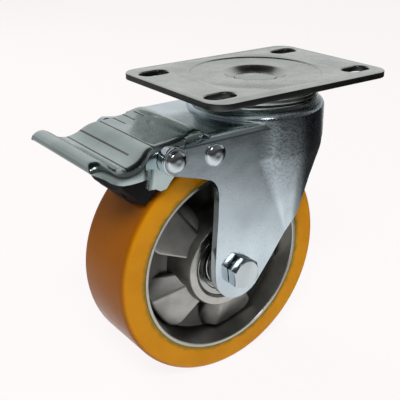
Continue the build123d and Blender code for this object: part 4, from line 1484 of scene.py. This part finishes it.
# ---- pins -------------------------------------------------------------------------------
@dataclass
class Pins:
    """The pedal's and the brake lever's pins, clenched into low domes at both ends."""

    pedal_r: float = 5.0
    pedal_head: Flat = (6.75, 2.6)
    lever_r: float = 4.0
    lever_head: Flat = (7.3, 3.0)
    # How thick the far heads are beside the near ones, and the flat share of every dome.
    far_share: float = 0.45
    flat_share: float = 0.30
    rim_thick: float = 0.25
    washer_thick: float = 1.5
    near_washer_r: float = 8.5
    far_washer_r: float = 7.2

    def head(self, shank_r: float, head_r: float, thick: float, seat: float) -> list[Flat]:
        """A domed head's profile, from the axis out and back to the shank.

        Args:
            shank_r: The radius of the shank.
            head_r: The radius of the head.
            thick: Its thickness.
            seat: Where it starts along the axis.

        Returns:
            The profile.
        """
        flat, rim = head_r * self.flat_share, seat + self.rim_thick
        profile = [(0.0, seat + thick * 0.97), (flat * 0.6, seat + thick)]
        for out, up in arc((0.0, 0.0), 1.0, 90, 0, 8):
            profile.append((flat + (head_r - flat) * out, rim + (thick - self.rim_thick) * up))
        return profile + [(head_r - 0.15, seat), (shank_r, seat)]

    def pin(
        self, name: str, centre: Point, shank_r: float, head: Flat, seat: float
    ) -> bpy.types.Object:
        """A pin with a domed head outside each seat.

        Args:
            name: The pin's name.
            centre: A point on its axis.
            shank_r: The radius of its shank.
            head: The radius and the thickness of its near head.
            seat: Half the distance between the heads.

        Returns:
            The pin.
        """
        head_r, thick = head
        far = self.head(shank_r, head_r, thick * self.far_share, seat)
        near = beyond(self.head(shank_r, head_r, thick, seat))
        return turned(name, far + near, Turning.Y, centre, 64, 45.0)

    def washer(self, outer: float) -> bpy.types.Object:
        """A washer under the pedal pin's far head.

        Args:
            outer: Its outer radius.

        Returns:
            The washer.
        """
        low, high, inner = FORK_HALF, FORK_HALF + self.washer_thick, self.pedal_r
        profile = [(inner, low), (outer - 0.2, low), (outer, low + 0.2), (outer, high - 0.4)]
        profile += [(outer - 0.4, high), (inner, high)]
        return turned("washer", profile, Turning.Y, PEDAL_PIVOT, 64, 35.0)

    def washers(self) -> bpy.types.Object:
        """The two washers under the pedal pin's heads, as one piece.

        Returns:
            Both washers.
        """
        under_near = self.washer(self.near_washer_r)
        pair = [self.washer(self.far_washer_r), across(under_near, "washer")]
        bpy.data.objects.remove(under_near)
        return joined("pedal_washers", pair)

    def build(self, palette: Palette) -> None:
        """Models, dresses and places the pins.

        Args:
            palette: The finished materials.
        """
        seat = FORK_HALF + self.washer_thick
        pedal = self.pin("pedal_pin_clenched", PEDAL_PIVOT, self.pedal_r, self.pedal_head, seat)
        lever = self.pin("lever_pin_clenched", LEVER_PIVOT, self.lever_r, self.lever_head, FORK_HALF)
        stand_in(pedal, palette, "pedal_pin", Finish.SMALL)
        stand_in(lever, palette, "lever_pin", Finish.SMALL)
        stand_in(self.washers(), palette, "pedal_pin_washers", Finish.SMALL)


# ---- pedal and brake -----------------------------------------------------------------------
@dataclass(frozen=True)
class Groove:
    """A fine groove across the pedal, from its near end to its far end."""

    x: float
    near: float = -36.5
    far: float = 36.5


@dataclass
class Pedal:
    """The pressed pedal: a dished tread with a rolled lip, and a channel over the arms."""

    sheet: float = 3.0
    bend: float = 5.0
    rear_half: float = 34.4
    tread_half: float = 39.2
    nose: float = -53.7
    pin_r: float = 5.05
    groove_half: float = 0.55
    groove_depth: float = 0.3
    grooves: tuple[Groove, ...] = (
        Groove(-30.8), Groove(-21.6, near=-24.0), Groove(-10.0, near=-32.0),
        Groove(-0.5, near=12.5), Groove(7.0, near=17.0, far=31.0),
        Groove(14.0, near=13.0, far=29.0),
    )
    # Along the pedal, from its pin: x, height of the upper face, and half width as a
    # share of the way from the channel's to the tread's.
    stations: tuple[Point, ...] = (
        (-51.2, 2.3, 0.70), (-52.4, 2.7, 0.62), (-53.3, 3.6, 0.56),
        (-53.7, 4.8, 0.54), (-53.2, 7.0, 0.60), (-51.9, 8.4, 0.69), (-49.5, 9.0, 0.80),
        (-46.5, 8.8, 0.90), (-42.0, 6.3, 0.97), (-38.0, 3.2, 1.0), (-33.5, 1.6, 1.0),
        (-28.2, 1.6, 1.0), (-23.5, 2.9, 0.96), (-20.0, 4.9, 0.84), (-16.5, 7.1, 0.55),
        (-13.0, 8.5, 0.22), (-9.0, 8.95, 0.04), (-4.5, 9.0, 0.0), (2.5, 9.5, 0.0),
        (8.5, 10.4, 0.0), (13.0, 11.2, 0.0), (16.5, 12.3, 0.0), (19.5, 12.8, 0.0),
        (22.3, 12.6, 0.0), (24.2, 11.9, 0.0),
    )
    curl: int = 3
    lower_edge: tuple[Flat, ...] = (
        (-53.7, 3.4), (-52.1, 2.6), (-48.5, 0.6), (-45.5, -1.2), (-42.0, -4.0), (-38.5, -6.0),
        (-34.0, -7.6), (-29.5, -8.0), (-17.5, -8.0), (-16.5, -9.0), (-16.0, -15.0),
        (-14.5, -17.0), (-8.5, -18.0), (-4.5, -20.5), (-0.5, -20.0), (2.0, -15.5),
        (4.5, -12.0), (9.5, -8.0), (11.5, -5.0), (11.52, 7.4), (24.2, 7.4),
    )
    steps: int = 4
    ear_top: float = -6.0
    ear_lean: float = 0.24

    def column(self, place: float) -> Point:
        """The station at a place, on a smooth line through the stations.

        Args:
            place: Station number, with a share of the way to the next.

        Returns:
            Its x, height and share of the width.
        """
        last = len(self.stations) - 1
        index = min(int(place), last - 1)
        share = place - index
        before = Vector(self.stations[max(index - 1, 0)])
        start, end = Vector(self.stations[index]), Vector(self.stations[index + 1])
        after = Vector(self.stations[min(index + 2, last)])
        run = (end - start).length
        lean_in = (end - before).normalized() * run
        lean_out = (after - start).normalized() * run
        squared, cubed = share**2, share**3
        point = (
            start * (2 * cubed - 3 * squared + 1)
            + lean_in * (cubed - 2 * squared + share)
            + end * (3 * squared - 2 * cubed)
            + lean_out * (cubed - squared)
        )
        return (point.x, point.y, min(max(point.z, 0.0), 1.0))

    def low_at(self, x: float) -> float:
        """The height of the side wall's lower edge at x.

        Args:
            x: The place along the pedal.

        Returns:
            The height.
        """
        for (x0, z0), (x1, z1) in zip(self.lower_edge, self.lower_edge[1:]):
            if x <= x1:
                return z0 + (z1 - z0) * max(x - x0, 0.0) / (x1 - x0)
        return self.lower_edge[-1][1]

    def columns(self) -> list[Point]:
        """Every column of the pressing: the stations, steps between, and the grooves.

        Returns:
            The x, height and share of the width of each.
        """
        last = len(self.stations) - 1
        found = [self.column(step / self.steps) for step in range(self.steps * last + 1)]
        curled = self.steps * self.curl
        rest = found[curled:]
        extra = {x for x, _ in self.lower_edge if rest[0][0] < x < rest[-1][0]}
        for groove in self.grooves:
            extra |= {groove.x - self.groove_half, groove.x, groove.x + self.groove_half}
        close = [one for one in rest if min(abs(one[0] - x) for x in extra) > 0.25]
        for x in sorted(extra):
            after = next(index for index, one in enumerate(rest) if one[0] >= x)
            one, two = rest[max(after - 1, 0)], rest[after]
            share = (x - one[0]) / max(two[0] - one[0], 1e-6)
            close.append(tuple(a + (b - a) * share for a, b in zip(one, two)))
        return found[:curled] + sorted(close)

    def section(self, x: float, top: float, half: float, bend: float) -> list[Flat]:
        """The line across one face of the sheet, as (y, z) points.

        Args:
            x: The column's place.
            top: The height of its flat.
            half: Half its width.
            bend: The radius between its flat and its sides.

        Returns:
            The points from the near lower edge to the far one.
        """
        low = min(self.low_at(x), top - 0.05)
        bend = min(bend, (top - low) * 0.9)
        levels = [low + (top - bend - low) * share for share in (0.0, 0.33, 0.67)]
        side = [(-half + self.ear_lean * max(self.ear_top - z, 0.0), z) for z in levels]
        side += arc((-half + bend, top - bend), bend, 180, 90, 7)
        flat = [((half - bend) * share, top) for share in (-0.9, -0.72, -0.5, -0.34, -0.1)]
        near = side + flat
        return near + [(-y, z) for y, z in reversed(near)]

    def sunk(self, x: float, y: float) -> float:
        """How far a groove lowers the upper face at a place."""
        within = [one for one in self.grooves if one.x == x and one.near <= y <= one.far]
        return self.groove_depth if within else 0.0

    def loops(self) -> list[list[Point]]:
        """The closed loops round the sheet, one for each column, pinched flat at the ends.

        Returns:
            Each loop's points: the outer face, then the inner face back again.
        """
        columns = self.columns()
        curled = self.steps * self.curl
        found = []
        for index, (x, top, share) in enumerate(columns):
            half = self.rear_half + share * (self.tread_half - self.rear_half)
            outer = self.section(x, top, half, self.bend if index >= curled else 0.1)
            inside = max(x, self.nose + self.sheet)
            height = max(top - self.sheet, self.low_at(inside) + 1.2)
            inner = self.section(inside, height, half - self.sheet, self.bend - self.sheet)
            loop = [(x, y, z - self.sunk(x, y)) for y, z in outer]
            found.append(loop + [(inside, y, z) for y, z in reversed(inner)])
        return [self.pinched(found[0])] + found + [self.pinched(found[-1])]

    def pinched(self, loop: list[Point]) -> list[Point]:
        """The loop with its two faces brought together half way between them."""
        pairs = zip(loop, reversed(loop))
        return [tuple((a + b) / 2 for a, b in zip(one, two)) for one, two in pairs]

    def pressing(self) -> bpy.types.Object:
        """The pedal's sheet: a grid wrapped round column by column, then closed up.

        Returns:
            The pedal.
        """
        loops = [[*loop, loop[0]] for loop in self.loops()]
        across = len(loops[0])
        bpy.ops.object.select_all(action="DESELECT")
        bpy.ops.mesh.primitive_grid_add(
            x_subdivisions=len(loops) - 1, y_subdivisions=across - 1, size=MM
        )
        pedal = just_added("pedal_pressing")
        ranked = sorted(pedal.data.vertices, key=lambda v: (round(v.co.x / MM, 6), v.co.y))
        pivot = Vector(PEDAL_PIVOT)
        for rank, vertex in enumerate(ranked):
            column, row = divmod(rank, across)
            vertex.co = (pivot + Vector(loops[column][row])) * MM
        opened(pedal)
        return closed_up(pedal)

    def build(self, palette: Palette) -> None:
        """Models, dresses and places the pedal.

        Args:
            palette: The finished materials.
        """
        pedal = self.pressing()
        drilled(pedal, Turning.Y, PEDAL_PIVOT, self.pin_r, (-50.0, 50.0))
        smoothed(pedal, 38.0)
        # The second slot's dark finish is painted shade on the grooves' floors.
        stand_in(pedal, palette, "pedal", Finish.PEDAL, Finish.DARK)
        self.paint_groove_shade(pedal)

    def paint_groove_shade(self, pedal: bpy.types.Object) -> None:
        """Puts the grooves' floors in the second slot, whose dark finish is painted shade in them.

        Args:
            pedal: The pedal.
        """
        for face in pedal.data.polygons:
            x, y, _ = face.center / MM - Vector(PEDAL_PIVOT)
            near = [one for one in self.grooves if one.near < y < one.far]
            inside = any(abs(x - one.x) < self.groove_half for one in near)
            face.material_index = 1 if inside and face.normal.z > 0.3 else 0


@dataclass
class Brake:
    """The brake lever, with rubber over its tip, and the block that it presses on the tread."""

    lever_edge: float = 0.6
    lever_tip: float = -88.0
    block_edge: float = 1.2

    def build(self, palette: Palette) -> None:
        """Models, dresses and places the brake's pieces.

        Args:
            palette: The finished materials.
        """
        lever = frame_copy("brake_lever", "brake_lever_pressing")
        opened(lever)
        bpy.ops.mesh.bisect(plane_co=(self.lever_tip * MM, 0.0, 0.0), plane_no=(1.0, 0.0, 0.0))
        bpy.ops.object.mode_set(mode="OBJECT")
        eased(lever, self.lever_edge, 2, 40.0)
        smoothed(lever, 35.0, weighed=True)
        stand_in(lever, palette, "brake_lever", Finish.PEDAL, Finish.RUBBER)
        for face in lever.data.polygons:
            face.material_index = 1 if face.center.x / MM < self.lever_tip else 0
        block = frame_copy("brake_block", "brake_block_moulding")
        eased(block, self.block_edge, 3, 35.0)
        smoothed(block, 40.0, weighed=True)
        stand_in(block, palette, "brake_block", Finish.RUBBER)


# ---- studio ---------------------------------------------------------------------------------
@dataclass
class Studio:
    """Pale floor, white background, soft lamps and the camera."""

    floor_level: float = -198.994
    floor_size: float = 40.0
    camera_place: Point = (-317.97, -375.41, 115.92)
    camera_back: Point = (-0.53961, -0.74500, 0.39216)
    camera_roll: float = -0.355
    lens: float = 67.25
    aim: Point = (-0.03, 0.0, -0.09)
    background: Colour = colour(1.0, 0.965, 0.965)
    floor_tone: Colour = colour(0.80, 0.79, 0.79)
    sky_tone: Colour = colour(0.96, 0.98, 1.0)
    ambient: float = 0.10
    # The floor's glow, the share of it that the camera sees and the share that lights things.
    glow: float = 1.06
    glow_share: float = 0.86
    bounce: float = 0.30
    # What polished metal sees, as places on a span and levels: the table from back to
    # front, the room by height, and the room from the camera's side to the far one.
    table_stops: tuple[Flat, ...] = (
        (0.0, 0.40), (0.35, 0.70), (0.55, 1.0), (0.63, 0.98), (0.75, 0.64), (0.81, 0.45),
        (0.875, 0.23), (0.93, 0.10), (1.0, 0.05),
    )
    side_stops: tuple[Flat, ...] = (
        (0.0, 1.0), (0.42, 1.0), (0.52, 0.90), (0.545, 1.0), (0.60, 1.0), (0.72, 0.38),
        (0.88, 0.05),
    )
    height_stops: tuple[Flat, ...] = (
        (0.0, 0.30), (0.50, 0.75), (0.62, 0.78), (0.72, 0.74), (0.83, 0.66), (0.93, 0.06),
    )
    away_stops: tuple[Flat, ...] = ((0.0, 0.10), (0.45, 0.20), (0.70, 0.75), (0.90, 1.0))

    def camera(self) -> None:
        """Adds the camera."""
        data = bpy.data.cameras.new("camera")
        data.lens = self.lens
        data.sensor_width = 36.0
        data.clip_start = 0.01
        data.clip_end = 60.0
        made = bpy.data.objects.new("camera", data)
        bpy.context.scene.collection.objects.link(made)
        back = Vector(self.camera_back).normalized()
        right = Vector((0.0, 0.0, 1.0)).cross(back).normalized()
        turn = math.radians(self.camera_roll)
        tread_shade = right * math.cos(turn) + back.cross(right) * math.sin(turn)
        axes = Matrix((tread_shade, back.cross(tread_shade), back)).transposed().to_4x4()
        made.matrix_world = Matrix.Translation(Vector(self.camera_place) * MM) @ axes
        bpy.context.scene.camera = made

    def floor(self) -> None:
        """Adds the floor: white to the camera and bright near the object, keeping its shadow.

        Polished metal sees it as a lit table that ends to the front and the right.
        """
        bpy.ops.object.select_all(action="DESELECT")
        place = (0.0, 0.0, self.floor_level * MM)
        bpy.ops.mesh.primitive_plane_add(size=self.floor_size, location=place)
        floor = bpy.context.object
        floor.name = "floor"
        material = bpy.data.materials.new("floor")
        paint = Paint(material)
        ray = paint.step("LightPath", {}).node.outputs
        matt = paint.step("BsdfDiffuse", {"Color": self.floor_tone})
        glow = paint.step("Emission", {"Color": self.background, "Strength": self.glow})
        table = self.ramp(paint, (0.587, -0.810, 0.0), (-0.6, 0.6), self.table_stops)
        side = self.ramp(paint, (1.0, 0.9, 0.0), (-0.4, 0.2), self.side_stops)
        behind = self.along(paint, (0.0, 1.0, 0.0), (0.14, 0.28))
        lit = paint.step("VectorMath", {0: side, 1: behind}, operation="MAXIMUM")
        lit = paint.step("VectorMath", {0: table, 1: lit}, operation="MULTIPLY")
        shares = {0: ray["Is Camera Ray"], 1: self.glow_share - self.bounce, 2: self.bounce}
        share = paint.step("Math", shares, operation="MULTIPLY_ADD")
        seen = paint.step("MixShader", {0: share, 1: matt, 2: glow})
        mirrored = paint.step("Emission", {"Color": lit})
        paint.close(paint.step("MixShader", {0: ray["Is Glossy Ray"], 1: seen, 2: mirrored}))
        floor.data.materials.append(material)

    def along(self, paint: Paint, axis: Point, span: Flat) -> Socket:
        """How far a place or direction lies along an axis, as a share of a span.

        Args:
            paint: The tree.
            axis: The axis.
            span: The values that give 0 and 1.

        Returns:
            The socket that holds the share.
        """
        reach = paint.step("VectorMath", {0: paint.place, 1: axis}, "Value", operation="DOT_PRODUCT")
        return paint.step("MapRange", {"Value": reach, "From Min": span[0], "From Max": span[1]})

    def ramp(self, paint: Paint, axis: Point, span: Flat, stops: tuple[Flat, ...]) -> Socket:
        """A soft ramp of greys along an axis.

        Args:
            paint: The tree.
            axis: The axis.
            span: The values along it where the ramp starts and ends.
            stops: Each stop's place and level.

        Returns:
            The socket that holds the grey.
        """
        made = paint.step("ValToRGB", {"Fac": self.along(paint, axis, span)})
        ramp = made.node.color_ramp
        ramp.interpolation = "EASE"
        for _ in stops[2:]:
            ramp.elements.new(0.5)
        for stop, (place, level) in zip(ramp.elements, stops):
            stop.position = place
            stop.color = colour(level, level, level)
        return made

    def sky(self) -> None:
        """Sets the world: white behind the object, a lit backdrop and a dark room in metal."""
        world = bpy.data.worlds.new("studio")
        bpy.context.scene.world = world
        paint = Paint(world)
        ray = paint.step("LightPath", {}).node.outputs
        ambient = paint.step("Background", {"Color": self.sky_tone, "Strength": self.ambient})
        white = paint.step("Background", {"Color": self.background})
        height = self.ramp(paint, (0.0, 0.0, 1.0), (-1.0, 1.0), self.height_stops)
        away = self.ramp(paint, (0.587, 0.810, 0.0), (-1.0, 1.0), self.away_stops)
        lit = paint.step("VectorMath", {0: height, 1: away}, operation="MULTIPLY")
        room = paint.step("Background", {"Color": lit})
        unseen = paint.step("MixShader", {0: ray["Is Glossy Ray"], 1: ambient, 2: room})
        paint.close(paint.step("MixShader", {0: ray["Is Camera Ray"], 1: unseen, 2: white}))

    def lamp(
        self, name: str, place: Point, size: Flat, power: float, mirrored: bool = False
    ) -> None:
        """Adds a soft rectangular lamp that faces the castor.

        Args:
            name: The lamp's name.
            place: Where it hangs, in metres.
            size: Its width and height, in metres.
            power: Its power in watts.
            mirrored: Whether only polished metal sees it, and not matt surfaces.
        """
        data = bpy.data.lights.new(name, "AREA")
        data.shape = "RECTANGLE"
        data.size, data.size_y = size
        data.energy = power
        made = bpy.data.objects.new(name, data)
        bpy.context.scene.collection.objects.link(made)
        aim = (Vector(self.aim) - Vector(place)).to_track_quat("-Z", "Y")
        made.matrix_world = Matrix.Translation(place) @ aim.to_matrix().to_4x4()
        made.visible_glossy = mirrored
        made.visible_diffuse = not mirrored

    def build(self) -> None:
        """Sets up the whole studio."""
        bpy.context.scene.view_settings.view_transform = "Standard"
        self.camera()
        self.floor()
        self.sky()
        self.lamp("key", (-0.62, -0.80, 1.00), (0.45, 0.45), 12.5)
        self.lamp("sparkle", (-0.33, -1.02, 0.74), (0.32, 0.32), 1.6, mirrored=True)
        self.lamp("fill", (0.9, -1.0, 0.25), (0.7, 0.7), 4.0)
        self.lamp("back", (-0.2, 1.2, 0.7), (1.0, 0.6), 7.0)


# ---- the whole castor ---------------------------------------------------------------------------
CARRIED_OVER: dict[Finish, tuple[str, ...]] = {
    Finish.PEDAL: ("pedal_cam",),
    Finish.SMALL: ("king_pin_nut", "return_spring"),
    Finish.RUBBER: ("block_rivets",),
    Finish.RACE: ("bottom_cup", "lock_disc", "upper_balls", "lower_balls"),
    Finish.BEARING: ("bearing_balls", "axle_tube", "bearing_spacer"),
}


def dress_carried_over(palette: Palette) -> None:
    """Gives the nodes that are shown as they are their finishes.

    Args:
        palette: The finished materials.
    """
    for finish, nodes in CARRIED_OVER.items():
        for node in nodes:
            palette.put(frame["nodes"][node], finish)
            LOG.info("node %s takes %s", node, finish.name)


def main() -> None:
    """Builds the castor's looks, one sub-assembly after another."""
    logging.basicConfig(level=logging.INFO, format="%(message)s")
    Studio().build()
    palette = Palette()
    dress_carried_over(palette)
    parts = (TopPlate(), Swivel(), Wheel(), Bearings(), Fork(), Axle(), Pins(), Pedal(), Brake())
    for part in parts:
        LOG.info("building %s", type(part).__name__)
        part.build(palette)


if __name__ == "__main__":
    main()
